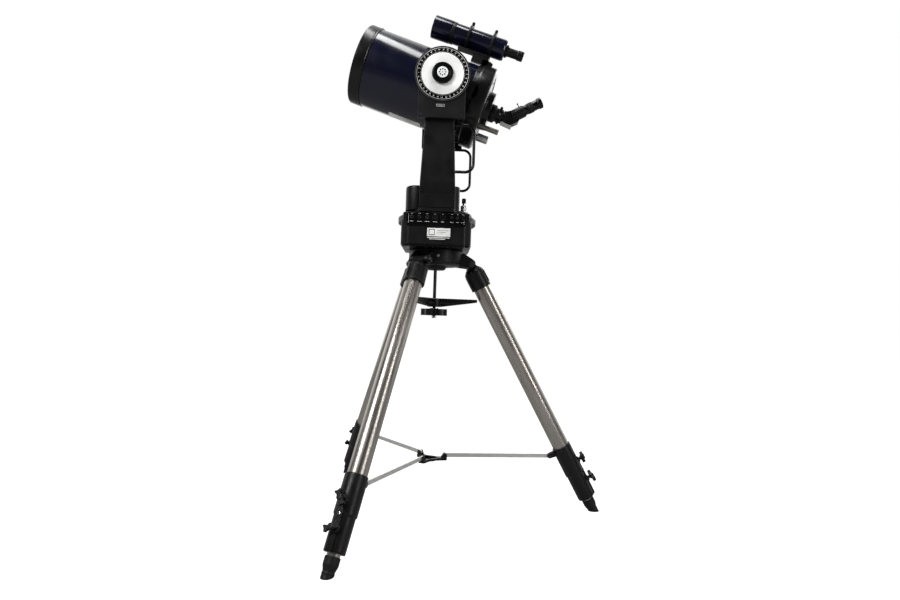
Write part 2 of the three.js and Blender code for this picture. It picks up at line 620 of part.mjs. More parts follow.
// ---------------------------------------------------------------- fork
function forkBase() {
  const padX = ARM_FOOT_HALF_WIDTH + 2;
  const pads = block([-padX, padX], [-PAD_HALF_Y, PAD_HALF_Y], [FLANGE_Z, FLANGE_TOP]);
  const hubHalf = ARM_INNER_Y - ARM_FOOT_INSET - 3;
  const hub = roundedRectangle(HUB_LEFT, HUB_RIGHT, -hubHalf, hubHalf, 26);
  const hubBevel = { depth: HUB_HEIGHT - 6, bevelThickness: 6, bevelSize: 6, bevelOffset: -6, bevelSegments: 1 };
  const hubBody = new THREE.ExtrudeGeometry(hub, { ...hubBevel, curveSegments: 4 }).translate(0, 0, FLANGE_TOP);
  return join(
    bar(FORK_FLANGE_RADIUS, FLANGE_Z, FLANGE_TOP, 'z', 36),
    pads,
    cut(hubBody, block([-200, 200], [-200, 200], [FLANGE_TOP - 20, FLANGE_TOP - 1])),
    bar(SPINDLE_RADIUS, DRIVE_Z + 10, FLANGE_Z + 2, 'z', FACETS),
  );
}

// The arm's face is drawn as (x, z) and its section as (y, z); the arm is what both share.
function forkArm(side) {
  const foot0 = FLANGE_TOP + GAP;
  const face = new THREE.Shape();
  face.moveTo(-ARM_FOOT_HALF_WIDTH, foot0);
  face.lineTo(ARM_FOOT_HALF_WIDTH, foot0);
  face.lineTo(ARM_FOOT_HALF_WIDTH, FLANGE_TOP + ARM_SHOULDER_HEIGHT);
  face.lineTo(ARM_NECK_HALF_WIDTH, FLANGE_TOP + ARM_NECK_HEIGHT);
  face.absarc(DEC_X, DEC_HEIGHT, ARM_HEAD_RADIUS, degrees(-40), degrees(220));
  face.lineTo(-ARM_NECK_HALF_WIDTH, FLANGE_TOP + ARM_NECK_HEIGHT);
  face.lineTo(-ARM_FOOT_HALF_WIDTH, FLANGE_TOP + ARM_SHOULDER_HEIGHT);
  const low = FLANGE_TOP + ARM_STEP_LOW;
  const high = FLANGE_TOP + ARM_STEP_HIGH;
  const top = DEC_HEIGHT + 2 * ARM_HEAD_RADIUS;
  const footInner = ARM_INNER_Y - ARM_FOOT_INSET;
  const footOuter = ARM_OUTER_Y - ARM_FOOT_INSET;
  const section = outlineOf([
    [side * footInner, foot0 - 5], [side * footOuter, foot0 - 5], [side * footOuter, low],
    [side * ARM_OUTER_Y, high], [side * ARM_OUTER_Y, top], [side * ARM_INNER_Y, top],
    [side * ARM_INNER_Y, high + 8], [side * footInner, low + 8],
  ]);
  const reach = 2 * ARM_HEAD_RADIUS;
  const sectionSolid = plate(section, -reach, reach).rotateX(Math.PI / 2).rotateZ(Math.PI / 2);
  const faceSolid = sidePlate(face, -2 * ARM_OUTER_Y, 2 * ARM_OUTER_Y);
  const hole = bar(TRUNNION_RADIUS + RUNNING, -300, 300, 'y', FACETS).translate(DEC_X, 0, DEC_HEIGHT);
  return cut(common(faceSolid, sectionSolid), hole);
}

// Cover on the arm's outer face, hollow towards the arm.
function decCover(side) {
  const outline = (inset) => {
    const shape = new THREE.Shape();
    const radius = COVER_HALF_WIDTH - inset;
    shape.moveTo(DEC_X - radius, DEC_HEIGHT - COVER_DROP + inset);
    shape.lineTo(DEC_X + radius, DEC_HEIGHT - COVER_DROP + inset);
    shape.absarc(DEC_X, DEC_HEIGHT, radius, 0, Math.PI);
    return shape;
  };
  const [low, high] = [side * COVER_Y, side * COVER_OUTER_Y].sort((a, b) => a - b);
  const body = sidePlate(outline(0), low, high);
  const room = [side * (COVER_Y - 2), side * (COVER_OUTER_Y - COVER_WALL)].sort((a, b) => a - b);
  const hole = bar(TRUNNION_RADIUS + RUNNING, -300, 300, 'y', FACETS).translate(DEC_X, 0, DEC_HEIGHT);
  return cut(body, sidePlate(outline(COVER_WALL), ...room), hole);
}

// Half-width of the arm at a height above the flange.
function armHalfWidth(height) {
  const share = (height - ARM_SHOULDER_HEIGHT) / (ARM_NECK_HEIGHT - ARM_SHOULDER_HEIGHT);
  return ARM_FOOT_HALF_WIDTH + (ARM_NECK_HALF_WIDTH - ARM_FOOT_HALF_WIDTH) * share;
}

function handle(side) {
  const y = side * HANDLE_Y;
  const [low, high] = [FLANGE_TOP + HANDLE_LOW, FLANGE_TOP + HANDLE_HIGH];
  const point = (x, z) => new THREE.Vector3(x, y, z);
  const lowStart = point(armHalfWidth(HANDLE_LOW - HANDLE_RADIUS) + GAP, low);
  const highStart = point(armHalfWidth(HANDLE_HIGH - HANDLE_RADIUS) + GAP, high);
  const corner = HANDLE_REACH - HANDLE_CORNER;
  const path = new THREE.CurvePath();
  path.add(new THREE.LineCurve3(lowStart, point(corner, low)));
  path.add(new THREE.QuadraticBezierCurve3(
    point(corner, low), point(HANDLE_REACH, low), point(HANDLE_REACH, low + HANDLE_CORNER),
  ));
  path.add(new THREE.LineCurve3(
    point(HANDLE_REACH, low + HANDLE_CORNER), point(HANDLE_REACH, high - HANDLE_CORNER),
  ));
  path.add(new THREE.QuadraticBezierCurve3(
    point(HANDLE_REACH, high - HANDLE_CORNER), point(HANDLE_REACH, high), point(corner, high),
  ));
  path.add(new THREE.LineCurve3(point(corner, high), highStart));
  const section = new THREE.Shape().absarc(0, 0, HANDLE_RADIUS, 0, Math.PI * 2);
  return new THREE.ExtrudeGeometry(section, { extrudePath: path, steps: 24, curveSegments: 4 });
}

// Slow-motion knob and lock lever on the flange, beside the hub.
function azimuthKnob() {
  const low = FLANGE_TOP + GAP;
  return turned([
    [0, low], [9.5, low], [9.5, low + 22], [4, low + 23], [4, low + 28],
    [6.5, low + 29], [6.5, low + 44], [0, low + 44],
  ], 'z', SMALL_FACETS).translate(KNOB_PLACE.x, KNOB_PLACE.y, 0);
}

function azimuthLock() {
  const low = FLANGE_TOP + GAP;
  const hub = bar(9, low, low + 12);
  const lever = block([0, 6], [0, 34], [low + 4, low + 9]).translate(-3, 0, 0);
  return join(hub, lever).translate(LOCK_PLACE.x, LOCK_PLACE.y, 0);
}

// ---------------------------------------------------------------- optical tube
function frontCell() {
  const seat = CORRECTOR_FRONT - GAP;
  const rebate = FRONT_CELL_END - 10;
  return turned([
    [CORRECTOR_RADIUS - 4.7, FRONT_RIM], [FRONT_CELL_RADIUS, FRONT_RIM], [FRONT_CELL_RADIUS, FRONT_CELL_END],
    [TUBE_RADIUS + GAP, FRONT_CELL_END], [TUBE_RADIUS + GAP, rebate], [CORRECTOR_RADIUS + GAP, rebate],
    [CORRECTOR_RADIUS + GAP, seat], [CORRECTOR_RADIUS - 4.7, seat],
  ], 'x', LARGE_FACETS);
}

function mainTube() {
  const start = FRONT_CELL_END - 10 + GAP;
  const end = REAR_CELL_START + 16 - GAP;
  return pipe(TUBE_RADIUS, TUBE_RADIUS - TUBE_WALL, start, end, 'x', LARGE_FACETS);
}

function correctorPlate() {
  const hole = HOLDER_NECK_RADIUS + GAP;
  return pipe(CORRECTOR_RADIUS, hole, CORRECTOR_FRONT, CORRECTOR_FRONT + CORRECTOR_THICKNESS, 'x', LARGE_FACETS);
}

function secondaryHolder() {
  const rear = CORRECTOR_FRONT + CORRECTOR_THICKNESS + GAP;
  const front = CORRECTOR_FRONT - GAP;
  return turned([
    [0, front - 7], [HOLDER_RADIUS, front - 7], [HOLDER_RADIUS, front], [HOLDER_NECK_RADIUS, front],
    [HOLDER_NECK_RADIUS, rear], [HOLDER_RADIUS - 2, rear], [HOLDER_RADIUS - 2, rear + 22], [0, rear + 22],
  ], 'x');
}

// The rear cell carries two cheeks that reach forward beside the tube to the trunnions.
function rearCell() {
  const seat = REAR_CELL_START + 16;
  const innerPlane = REAR_PLANE - 8;
  const body = turned([
    [TUBE_RADIUS + GAP, REAR_CELL_START], [REAR_CELL_RADIUS, REAR_CELL_START],
    [REAR_CELL_RADIUS, FLANGE_START], [FLANGE_RADIUS, FLANGE_START + 1], [FLANGE_RADIUS, REAR_PLANE - 6],
    [FLANGE_RADIUS - 9, REAR_PLANE], [REAR_HUB_RADIUS, REAR_PLANE], [REAR_HUB_RADIUS - 3, REAR_HUB_END],
    [REAR_BORE_RADIUS, REAR_HUB_END], [REAR_BORE_RADIUS, innerPlane], [TUBE_RADIUS - 5.5, innerPlane],
    [TUBE_RADIUS - 5.5, seat], [TUBE_RADIUS + GAP, seat],
  ], 'x', LARGE_FACETS);
  const flats = block([0, REAR_HUB_END + 5], [-CHEEK_OUTER_Y, CHEEK_OUTER_Y], [-200, 200]);
  const cheekOutline = roundedRectangle(
    -CHEEK_HALF_HEIGHT, FLANGE_START + 12, -CHEEK_HALF_HEIGHT, CHEEK_HALF_HEIGHT, CHEEK_HALF_HEIGHT - 2,
  );
  const inner = CHEEK_OUTER_Y - CHEEK_THICKNESS;
  const cheeks = join(
    sidePlate(cheekOutline, inner, CHEEK_OUTER_Y),
    sidePlate(cheekOutline, -CHEEK_OUTER_Y, -inner),
  );
  const nearShaft = bar(TRUNNION_RADIUS, -DIAL_Y - DIAL_THICKNESS, -inner - 1, 'y', FACETS);
  const farShaft = bar(TRUNNION_RADIUS, inner + 1, COVER_OUTER_Y, 'y', FACETS);
  const shafts = [nearShaft, farShaft].map((shaft) => shaft.translate(-BODY_S, 0, 0));
  return join(common(body, flats), cheeks, ...shafts);
}

function baffleTube() {
  const end = REAR_PLANE - 8 - GAP;
  const inner = BAFFLE_RADIUS - BAFFLE_WALL;
  return turned([
    [inner, BAFFLE_START], [BAFFLE_RADIUS, BAFFLE_START], [BAFFLE_RADIUS, end - 5], [40, end - 5],
    [40, end], [inner, end],
  ], 'x', FACETS);
}

function primaryMirror() {
  const hole = BAFFLE_RADIUS + 1;
  const back = MIRROR_FRONT + MIRROR_THICKNESS;
  return turned([
    [hole, MIRROR_FRONT + 5], [MIRROR_RADIUS, MIRROR_FRONT], [MIRROR_RADIUS, back], [hole, back],
  ], 'x', LARGE_FACETS);
}

function decCircle() {
  return pipe(DIAL_RADIUS, TRUNNION_RADIUS + GAP, -DIAL_Y - DIAL_THICKNESS, -DIAL_Y, 'y', LARGE_FACETS);
}

function decLockKnob() {
  const back = -DIAL_Y - DIAL_THICKNESS - GAP;
  const front = back - DEC_KNOB_DEPTH;
  return turned([
    [0, back], [DEC_KNOB_RADIUS - 2, back], [DEC_KNOB_RADIUS, back - 3], [DEC_KNOB_RADIUS - 2, front + 3],
    [DEC_KNOB_RADIUS - 7, front], [0, front],
  ], 'y');
}

// ---------------------------------------------------------------- finder
// Tilts a finder piece against the tube, about the point midway between its rings.
function setToSky(geometry) {
  return geometry.translate(-FINDER_PIVOT, 0, -FINDER_N).rotateY(FINDER_TILT)
    .translate(FINDER_PIVOT, 0, FINDER_N);
}

function finderTube() {
  const wall = FINDER_RADIUS - 2.5;
  const tube = turned([
    [0, FINDER_FRONT + 30], [wall, FINDER_FRONT + 30], [wall, FINDER_FRONT],
    [FINDER_CELL_RADIUS, FINDER_FRONT], [FINDER_CELL_RADIUS, FINDER_CELL_END], [FINDER_RADIUS, FINDER_CELL_END],
    [FINDER_RADIUS, FINDER_END - 6], [FINDER_RADIUS - 6, FINDER_END], [FINDER_EYE_RADIUS, FINDER_END],
    [FINDER_EYE_RADIUS, FINDER_EYE_END], [FINDER_EYE_RADIUS - 5, FINDER_EYE_END],
    [FINDER_EYE_RADIUS - 5, FINDER_END - 20], [wall - 8, FINDER_END - 20], [wall - 8, FINDER_FRONT + 40],
    [0, FINDER_FRONT + 40],
  ], 'x').translate(0, FINDER_Y, FINDER_N);
  return setToSky(tube);
}

function finderBracket() {
  const inner = FINDER_RADIUS + RING_CLEARANCE;
  const outer = inner + RING_WALL;
  const rings = RING_PLACES.map((s) => {
    const ring = pipe(outer, inner, s - RING_WIDTH / 2, s + RING_WIDTH / 2, 'x', FACETS);
    const screws = [0, 120, 240].map((angle) => {
      const shaft = bar(RING_SCREW_RADIUS, FINDER_RADIUS + GAP, outer + 6, 'z', 10);
      const head = bar(RING_SCREW_RADIUS + 2.5, outer + 5, outer + RING_SCREW_REACH, 'z', SMALL_FACETS);
      return (angle === 0 ? join(shaft, head) : shaft).rotateX(degrees(angle)).translate(s, 0, 0);
    });
    return join(ring, ...screws).translate(0, FINDER_Y, FINDER_N);
  });
  const bottom = FINDER_N - outer;
  const shelf = block([0, STALK_BACK], [FINDER_Y - 14, FINDER_Y + 14], [bottom - 3.5, bottom + 0.8]);
  const stalk = block([STALK_FRONT, STALK_BACK], [FINDER_Y - 12, FINDER_Y + 12], [90, bottom - 2]);
  const foot = block([REAR_CELL_START, FLANGE_START + 20], [FINDER_Y - 12, FINDER_Y + 12], [90, FLANGE_RADIUS + 6]);
  const cell = bar(FLANGE_RADIUS + GAP, FLANGE_START - GAP, 300, 'x', LARGE_FACETS);
  const front = bar(REAR_CELL_RADIUS + GAP, -50, FLANGE_START, 'x', LARGE_FACETS);
  return cut(join(setToSky(join(...rings, shelf)), stalk, foot), cell, front);
}

// ---------------------------------------------------------------- rear fittings
function visualBack() {
  const bore = NOSE_RADIUS + RUNNING;
  const start = REAR_HUB_END + GAP;
  return turned([
    [bore, start], [VISUAL_BACK_RADIUS, start], [VISUAL_BACK_RADIUS, start + 15],
    [VISUAL_BACK_RADIUS - 6, start + 19], [VISUAL_BACK_RADIUS - 6, VISUAL_BACK_END], [bore, VISUAL_BACK_END],
  ], 'x', FACETS);
}

// Turns a piece drawn along +X so that it leaves the diagonal's centre at its bend.
function alongBend(geometry) {
  return geometry.rotateY(-DIAGONAL_BEND).translate(DIAGONAL_CENTRE[0], 0, DIAGONAL_CENTRE[1]);
}

function diagonal() {
  const nose = bar(NOSE_RADIUS, REAR_HUB_END + 10, VISUAL_BACK_END + 10, 'x', FACETS);
  const [s, n] = DIAGONAL_CENTRE;
  const housing = sidePlate(outlineOf([
    [VISUAL_BACK_END + GAP, -17], [s + 8, n - 29], [s + 28, n - 8], [s + 22, n + 16],
    [s + 4, n + 22], [VISUAL_BACK_END + GAP, 17],
  ]), -DIAGONAL_HALF_WIDTH, DIAGONAL_HALF_WIDTH);
  const holder = alongBend(bar(NOSE_RADIUS + 2.5, 0, EYEPIECE_SEAT, 'x', FACETS));
  const bore = alongBend(bar(NOSE_RADIUS, 18, EYEPIECE_SEAT + 5, 'x', FACETS));
  return cut(join(nose, housing, holder), bore);
}

function eyepiece() {
  const barrel = NOSE_RADIUS - RUNNING;
  const start = EYEPIECE_SEAT + GAP;
  return alongBend(turned([
    [0, 20], [barrel, 20], [barrel, start], [15, start], [15, 82], [17, 86], [17, EYEPIECE_LENGTH],
    [0, EYEPIECE_LENGTH],
  ], 'x', FACETS));
}

function rearKnob({ y, n, radius, length }) {
  const start = REAR_PLANE + GAP;
  return turned([
    [0, start], [radius, start], [radius, start + length - 2], [radius - 2, start + length],
    [0, start + length],
  ], 'x', SMALL_FACETS).translate(0, y, n);
}

// ---------------------------------------------------------------- assembly
const telescope = new THREE.Group();

const tripod = new THREE.Group();
tripod.add(part('tripod_head', tripodHead(), BLACK_PAINT));
tripod.add(part('tension_rod', tensionRod(), STAINLESS));
tripod.add(part('spreader', spreader(), BLACK_PAINT));
tripod.add(part('tension_knob', tensionKnob(), BLACK_PLASTIC));
tripod.add(part('strut_hub', strutHub(), BLACK_PLASTIC));
LEG_AZIMUTHS.forEach((azimuth, index) => addLeg(tripod, azimuth, index + 1));

const base = new THREE.Group();
base.add(part('base_plate', basePlate(), BLACK_PAINT));
base.add(part('drive_base', driveBase(), BLACK_PAINT));
base.add(part('power_panel', powerPanel(), BLACK_PLASTIC));
base.add(part('azimuth_motor', azimuthMotor(), GREY_PAINT));
base.add(part('azimuth_circle', azimuthCircle(), GREY_PAINT));

const fork = new THREE.Group();
fork.add(part('azimuth_gear', azimuthGear(), BRASS));
fork.add(part('fork_base', forkBase(), BLACK_PAINT));
fork.add(part('azimuth_knob', azimuthKnob(), BLACK_PLASTIC));
fork.add(part('azimuth_lock', azimuthLock(), CHROME));
Object.entries({ near: -1, far: 1 }).forEach(([place, side]) => {
  fork.add(part(`fork_arm_${place}`, forkArm(side), BLACK_PAINT));
  fork.add(part(`dec_cover_${place}`, decCover(side), GREY_PAINT));
  fork.add(part(`handle_${place}`, handle(side), BLACK_PLASTIC));
});

const optics = new THREE.Group();
optics.position.set(DEC_X, 0, DEC_HEIGHT);
optics.rotation.y = TUBE_TILT;
optics.add(part('dec_circle', decCircle(), WHITE_PLASTIC));
optics.add(part('dec_lock_knob', decLockKnob(), BLACK_PLASTIC));

const tubeBody = new THREE.Group();
tubeBody.position.x = BODY_S;
tubeBody.add(part('front_cell', frontCell(), BLACK_PAINT));
tubeBody.add(part('optical_tube', mainTube(), BLUE_PAINT));
tubeBody.add(part('corrector_plate', correctorPlate(), GLASS));
tubeBody.add(part('secondary_holder', secondaryHolder(), BLACK_PLASTIC));
tubeBody.add(part('rear_cell', rearCell(), GREY_PAINT));
tubeBody.add(part('baffle_tube', baffleTube(), BLACK_PAINT));
tubeBody.add(part('primary_mirror', primaryMirror(), MIRROR));
tubeBody.add(part('finder_bracket', finderBracket(), BLACK_PAINT));
tubeBody.add(part('finder_tube', finderTube(), BLUE_PAINT));
tubeBody.add(part('visual_back', visualBack(), BLACK_PAINT));
tubeBody.add(part('star_diagonal', diagonal(), BLACK_PLASTIC));
tubeBody.add(part('eyepiece', eyepiece(), BLACK_PLASTIC));
tubeBody.add(part('focus_knob', rearKnob(FOCUS_KNOB), CHROME));
tubeBody.add(part('mirror_lock_knob', rearKnob(MIRROR_LOCK), GREY_PAINT));

optics.add(tubeBody);
telescope.add(tripod, base, fork, optics);
telescope.updateMatrixWorld(true);
const bounds = new THREE.Box3().setFromObject(telescope, true);
const middle = bounds.getCenter(new THREE.Vector3());
telescope.position.set(-middle.x, -middle.y, -bounds.min.z);

export default telescope;
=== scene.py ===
"""Looks of the fork-mounted telescope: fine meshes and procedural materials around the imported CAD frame.

Lengths inside the piece functions are millimetres in a local frame (a leg, the optical tube, the stand),
and put() brings each finished mesh into the row frame in metres.
"""
import json
import math

import bmesh
import bpy
from mathutils import Matrix, Vector


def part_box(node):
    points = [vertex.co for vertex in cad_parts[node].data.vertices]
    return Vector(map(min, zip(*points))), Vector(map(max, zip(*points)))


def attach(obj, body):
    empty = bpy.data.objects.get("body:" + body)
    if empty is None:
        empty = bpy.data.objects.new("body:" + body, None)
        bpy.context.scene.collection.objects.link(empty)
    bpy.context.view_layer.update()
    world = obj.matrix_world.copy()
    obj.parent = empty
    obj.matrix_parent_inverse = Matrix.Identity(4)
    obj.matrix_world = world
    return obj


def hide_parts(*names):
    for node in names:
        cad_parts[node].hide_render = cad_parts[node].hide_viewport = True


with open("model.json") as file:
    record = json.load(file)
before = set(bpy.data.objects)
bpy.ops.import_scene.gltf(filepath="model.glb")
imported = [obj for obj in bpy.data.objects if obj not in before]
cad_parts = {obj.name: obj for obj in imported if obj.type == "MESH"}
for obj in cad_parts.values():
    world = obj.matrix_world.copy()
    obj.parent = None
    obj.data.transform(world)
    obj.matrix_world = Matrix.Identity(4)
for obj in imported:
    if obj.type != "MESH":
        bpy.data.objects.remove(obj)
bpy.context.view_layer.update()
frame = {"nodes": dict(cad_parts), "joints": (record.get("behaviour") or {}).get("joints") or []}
joints = {joint["name"]: joint for joint in frame["joints"]}

MM = 0.001
TAU = 2 * math.pi
LEGS = (1, 2, 3)
GAP = 0.3
BODY_SHIFT = -5.1


# ------------------------------------------------------------------ local frames
def axes_matrix(origin, x, y, z):
    """Places a local frame, drawn in millimetres, in the row frame."""
    turn = Matrix((x, y, z)).transposed().to_4x4()
    return Matrix.Translation(Vector(origin)) @ turn @ Matrix.Scale(MM, 4)


def leg_frame(number):
    """Hinge at the origin, -Z down the leg, +X outward."""
    fold = joints[f"leg_fold_{number}"]
    down = Vector(joints[f"leg_slide_{number}"]["axis"]).normalized()
    side = Vector(fold["axis"]).normalized()
    return axes_matrix(fold["pos_m"], side.cross(-down), side, -down)


def side_frame(number):
    """On the floor under the azimuth axis, +X towards one leg, +Z up."""
    side = Vector(joints[f"leg_fold_{number}"]["axis"]).normalized()
    up = Vector((0, 0, 1))
    return axes_matrix((AXIS.x, AXIS.y, 0), side.cross(up), side, up)


def tube_frame():
    """On the declination axis, +X rearward along the tube, +Z its upward normal."""
    rearward = Vector(joints["focus_turn"]["axis"]).normalized()
    across = Vector((0, 1, 0))
    return axes_matrix(joints["declination_turn"]["pos_m"], rearward, across, rearward.cross(across))


AXIS = Vector(joints["azimuth_turn"]["pos_m"])
STAND = Matrix.Translation((AXIS.x, AXIS.y, 0)) @ Matrix.Scale(MM, 4)
AXLE = tube_frame()
TUBE = AXLE @ Matrix.Translation((BODY_SHIFT, 0, 0))
LEG = {number: leg_frame(number) for number in LEGS}
SIDE = {number: side_frame(number) for number in LEGS}
DEC_X = (joints["declination_turn"]["pos_m"][0] - AXIS.x) / MM
DEC_Z = joints["declination_turn"]["pos_m"][2] / MM


def local_box(node):
    """A CAD node's lowest and highest corners in the stand's frame, in millimetres."""
    low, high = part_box(node)
    inverse = STAND.inverted()
    return inverse @ low, inverse @ high


# ------------------------------------------------------------------ materials
def new_material(name):
    """A material, its node tree and its Principled shader."""
    material = bpy.data.materials.new(name)
    material.use_nodes = True
    tree = material.node_tree
    shader = tree.nodes["Principled BSDF"]
    return material, tree, shader


def add_node(tree, kind, inputs=None, **settings):
    node = tree.nodes.new(kind)
    for key, value in settings.items():
        setattr(node, key, value)
    for key, value in (inputs or {}).items():
        if isinstance(value, bpy.types.NodeSocket):
            tree.links.new(value, node.inputs[key])
        else:
            node.inputs[key].default_value = value
    return node


def noise(tree, scale, detail=3.0, stretch=(1, 1, 1), roughness=0.5, turn=(0, 0, 0)):
    """Noise in the row frame, metres times scale, turned, then packed closer by the stretch factors."""
    place = add_node(tree, "ShaderNodeTexCoord")
    mapping = add_node(tree, "ShaderNodeMapping", {
        "Vector": place.outputs["Object"], "Rotation": turn, "Scale": tuple(1 / s for s in stretch),
    }, vector_type="TEXTURE")
    inputs = {"Vector": mapping.outputs["Vector"], "Scale": scale, "Detail": detail,
        "Roughness": roughness}
    return add_node(tree, "ShaderNodeTexNoise", inputs).outputs["Fac"]


def ramp(tree, factor, low, high):
    """A value from low to high as the factor goes from 0.3 to 0.7."""
    inputs = {"Value": factor, "From Min": 0.3, "From Max": 0.7, "To Min": low, "To Max": high}
    return add_node(tree, "ShaderNodeMapRange", inputs).outputs["Result"]


def tint(tree, factor, low, high):
    """A colour from low to high as the factor goes from 0 to 1."""
    node = add_node(tree, "ShaderNodeValToRGB", {"Fac": factor})
    node.color_ramp.elements[0].color = (*low, 1)
    node.color_ramp.elements[1].color = (*high, 1)
    node.color_ramp.elements[0].position = 0.35
    node.color_ramp.elements[1].position = 0.65
    return node.outputs["Color"]


def bump(tree, shader, height, strength, distance):
    node = add_node(tree, "ShaderNodeBump",
        {"Height": height, "Strength": strength, "Distance": distance})
    tree.links.new(node.outputs["Normal"], shader.inputs["Normal"])
    return node


def worn_edges(tree, amount, base, bare):
    """Mixes a bare colour in along convex edges, broken up by noise."""
    pointy = add_node(tree, "ShaderNodeNewGeometry").outputs["Pointiness"]
    edge = add_node(tree, "ShaderNodeMapRange", {
        "Value": pointy, "From Min": 0.56, "From Max": 0.68, "To Min": 0.0, "To Max": amount,
    }).outputs["Result"]
    broken = add_node(tree, "ShaderNodeMath", operation="MULTIPLY")
    tree.links.new(edge, broken.inputs[0])
    tree.links.new(ramp(tree, noise(tree, 90, 4), 0.2, 1.0), broken.inputs[1])
    mix = add_node(tree, "ShaderNodeMix", data_type="RGBA")
    tree.links.new(broken.outputs[0], mix.inputs["Factor"])
    tree.links.new(base, mix.inputs[6])
    mix.inputs[7].default_value = (*bare, 1)
    return mix.outputs[2]


def painted(name, dark, light, rough, grain, coat=0.0, edge=(0.16, 0.16, 0.17), edge_amount=0.35):
    """Paint or powder coat: slow colour drift, handled roughness, a fine orange-peel bump."""
    material, tree, shader = new_material(name)
    colour = tint(tree, noise(tree, 9, 4), dark, light)
    tree.links.new(worn_edges(tree, edge_amount, colour, edge), shader.inputs["Base Color"])
    tree.links.new(ramp(tree, noise(tree, 26, 5), rough * 0.8, rough * 1.25), shader.inputs["Roughness"])
    bump(tree, shader, noise(tree, grain, 2), 0.25, 0.0004)
    shader.inputs["Specular IOR Level"].default_value = 0.35
    shader.inputs["Coat Weight"].default_value = coat
    shader.inputs["Coat Roughness"].default_value = 0.06
    shader.inputs["IOR"].default_value = 1.5
    return material


def plastic(name, colour, rough, grain=900, depth=0.0003):
    """Moulded plastic: fine spark-eroded grain and slightly polished patches."""
    material, tree, shader = new_material(name)
    lighter = tuple(c * 1.6 + 0.001 for c in colour)
    tree.links.new(tint(tree, noise(tree, 14, 4), colour, lighter), shader.inputs["Base Color"])
    tree.links.new(ramp(tree, noise(tree, 40, 4), rough * 0.75, rough * 1.2), shader.inputs["Roughness"])
    bump(tree, shader, noise(tree, grain, 2), 0.3, depth)
    shader.inputs["Specular IOR Level"].default_value = 0.35
    return material


def metal(name, dark, light, rough, stretch, scale, relief=0.12, turn=(0, 0, 0)):
    """Bare metal whose drawn or brushed marks are noise stretched along the work."""
    material, tree, shader = new_material(name)
    marks = noise(tree, scale, 5, stretch, 0.6, turn)
    tree.links.new(tint(tree, marks, dark, light), shader.inputs["Base Color"])
    tree.links.new(ramp(tree, marks, rough * 0.7, rough * 1.4), shader.inputs["Roughness"])
    if relief:
        bump(tree, shader, marks, relief, 0.00015)
    shader.inputs["Metallic"].default_value = 1.0
    return material


def glass(name, colour):
    """Coated optical glass, faintly tinted."""
    material, tree, shader = new_material(name)
    tree.links.new(tint(tree, noise(tree, 4, 2), colour, tuple(c * 0.96 for c in colour)),
        shader.inputs["Base Color"])
    tree.links.new(ramp(tree, noise(tree, 60, 3), 0.01, 0.04), shader.inputs["Roughness"])
    shader.inputs["Transmission Weight"].default_value = 1.0
    shader.inputs["IOR"].default_value = 1.45
    return material


NAVY = painted("navy_paint", (0.0016, 0.0022, 0.012), (0.0030, 0.0038, 0.020), 0.20, 260, 0.3,
    (0.01, 0.012, 0.04), 0.15)
BLACK = painted("black_paint", (0.0020, 0.0020, 0.0022), (0.0040, 0.0040, 0.0044), 0.40, 420, 0.0,
    (0.05, 0.05, 0.055), 0.3)
SATIN = painted("satin_grey_paint", (0.0075, 0.0078, 0.0085), (0.012, 0.0122, 0.013), 0.36, 420)
CELL = painted("cell_paint", (0.0035, 0.0035, 0.0037), (0.0065, 0.0065, 0.0068), 0.27, 380, 0.0,
    (0.06, 0.06, 0.065), 0.3)
CIRCLE_GREY = painted("circle_paint", (0.045, 0.045, 0.043), (0.075, 0.075, 0.072), 0.42, 380)
PLASTIC = plastic("black_plastic", (0.0022, 0.0022, 0.0024), 0.38)
GLOSS = plastic("gloss_black", (0.0018, 0.0018, 0.0020), 0.16, 300, 0.0001)
RUBBER = plastic("foot_rubber", (0.0035, 0.0035, 0.0036), 0.66, 500, 0.0005)
WHITE = plastic("white_face", (0.90, 0.90, 0.89), 0.35, 700, 0.0001)
LABEL = plastic("label_white", (0.80, 0.80, 0.78), 0.5, 600, 0.0001)
PALE_MARK = plastic("mark_white", (0.62, 0.62, 0.60), 0.5, 600, 0.0001)
STEEL = {number: metal(f"stainless_{number}", (0.44, 0.405, 0.37), (0.55, 0.515, 0.475), 0.30,
    (12, 12, 0.5), 14,
                       0.0, LEG[number].to_euler()) for number in LEGS}
STRUT = metal("strut_silver", (0.80, 0.79, 0.77), (0.88, 0.87, 0.85), 0.5, (3, 3, 30), 20)
CHROME = metal("chrome", (0.78, 0.78, 0.79), (0.88, 0.88, 0.89), 0.09, (1, 1, 1), 30)
BRONZE = metal("warm_metal", (0.34, 0.30, 0.27), (0.46, 0.42, 0.38), 0.35, (1, 8, 8), 40)
ROD = metal("rod_steel", (0.05, 0.05, 0.052), (0.10, 0.10, 0.10), 0.38, (1, 1, 6), 60)
BRASS = metal("brass", (0.50, 0.36, 0.14), (0.70, 0.52, 0.24), 0.3, (1, 1, 1), 60)
GLASS = glass("lens_glass", (0.80, 0.90, 0.86))
MIRROR = metal("mirror_glass", (0.88, 0.89, 0.90), (0.92, 0.93, 0.94), 0.02, (1, 1, 1), 8)


# ------------------------------------------------------------------ mesh helpers
def mesh_of(build):
    """Runs build(bm) on a new bmesh and returns the mesh, with shared points merged."""
    bm = bmesh.new()
    build(bm)
    bmesh.ops.remove_doubles(bm, verts=bm.verts, dist=1e-5)
    bmesh.ops.recalc_face_normals(bm, faces=bm.faces)
    mesh = bpy.data.meshes.new("piece")
    bm.to_mesh(mesh)
    bm.free()
    return mesh


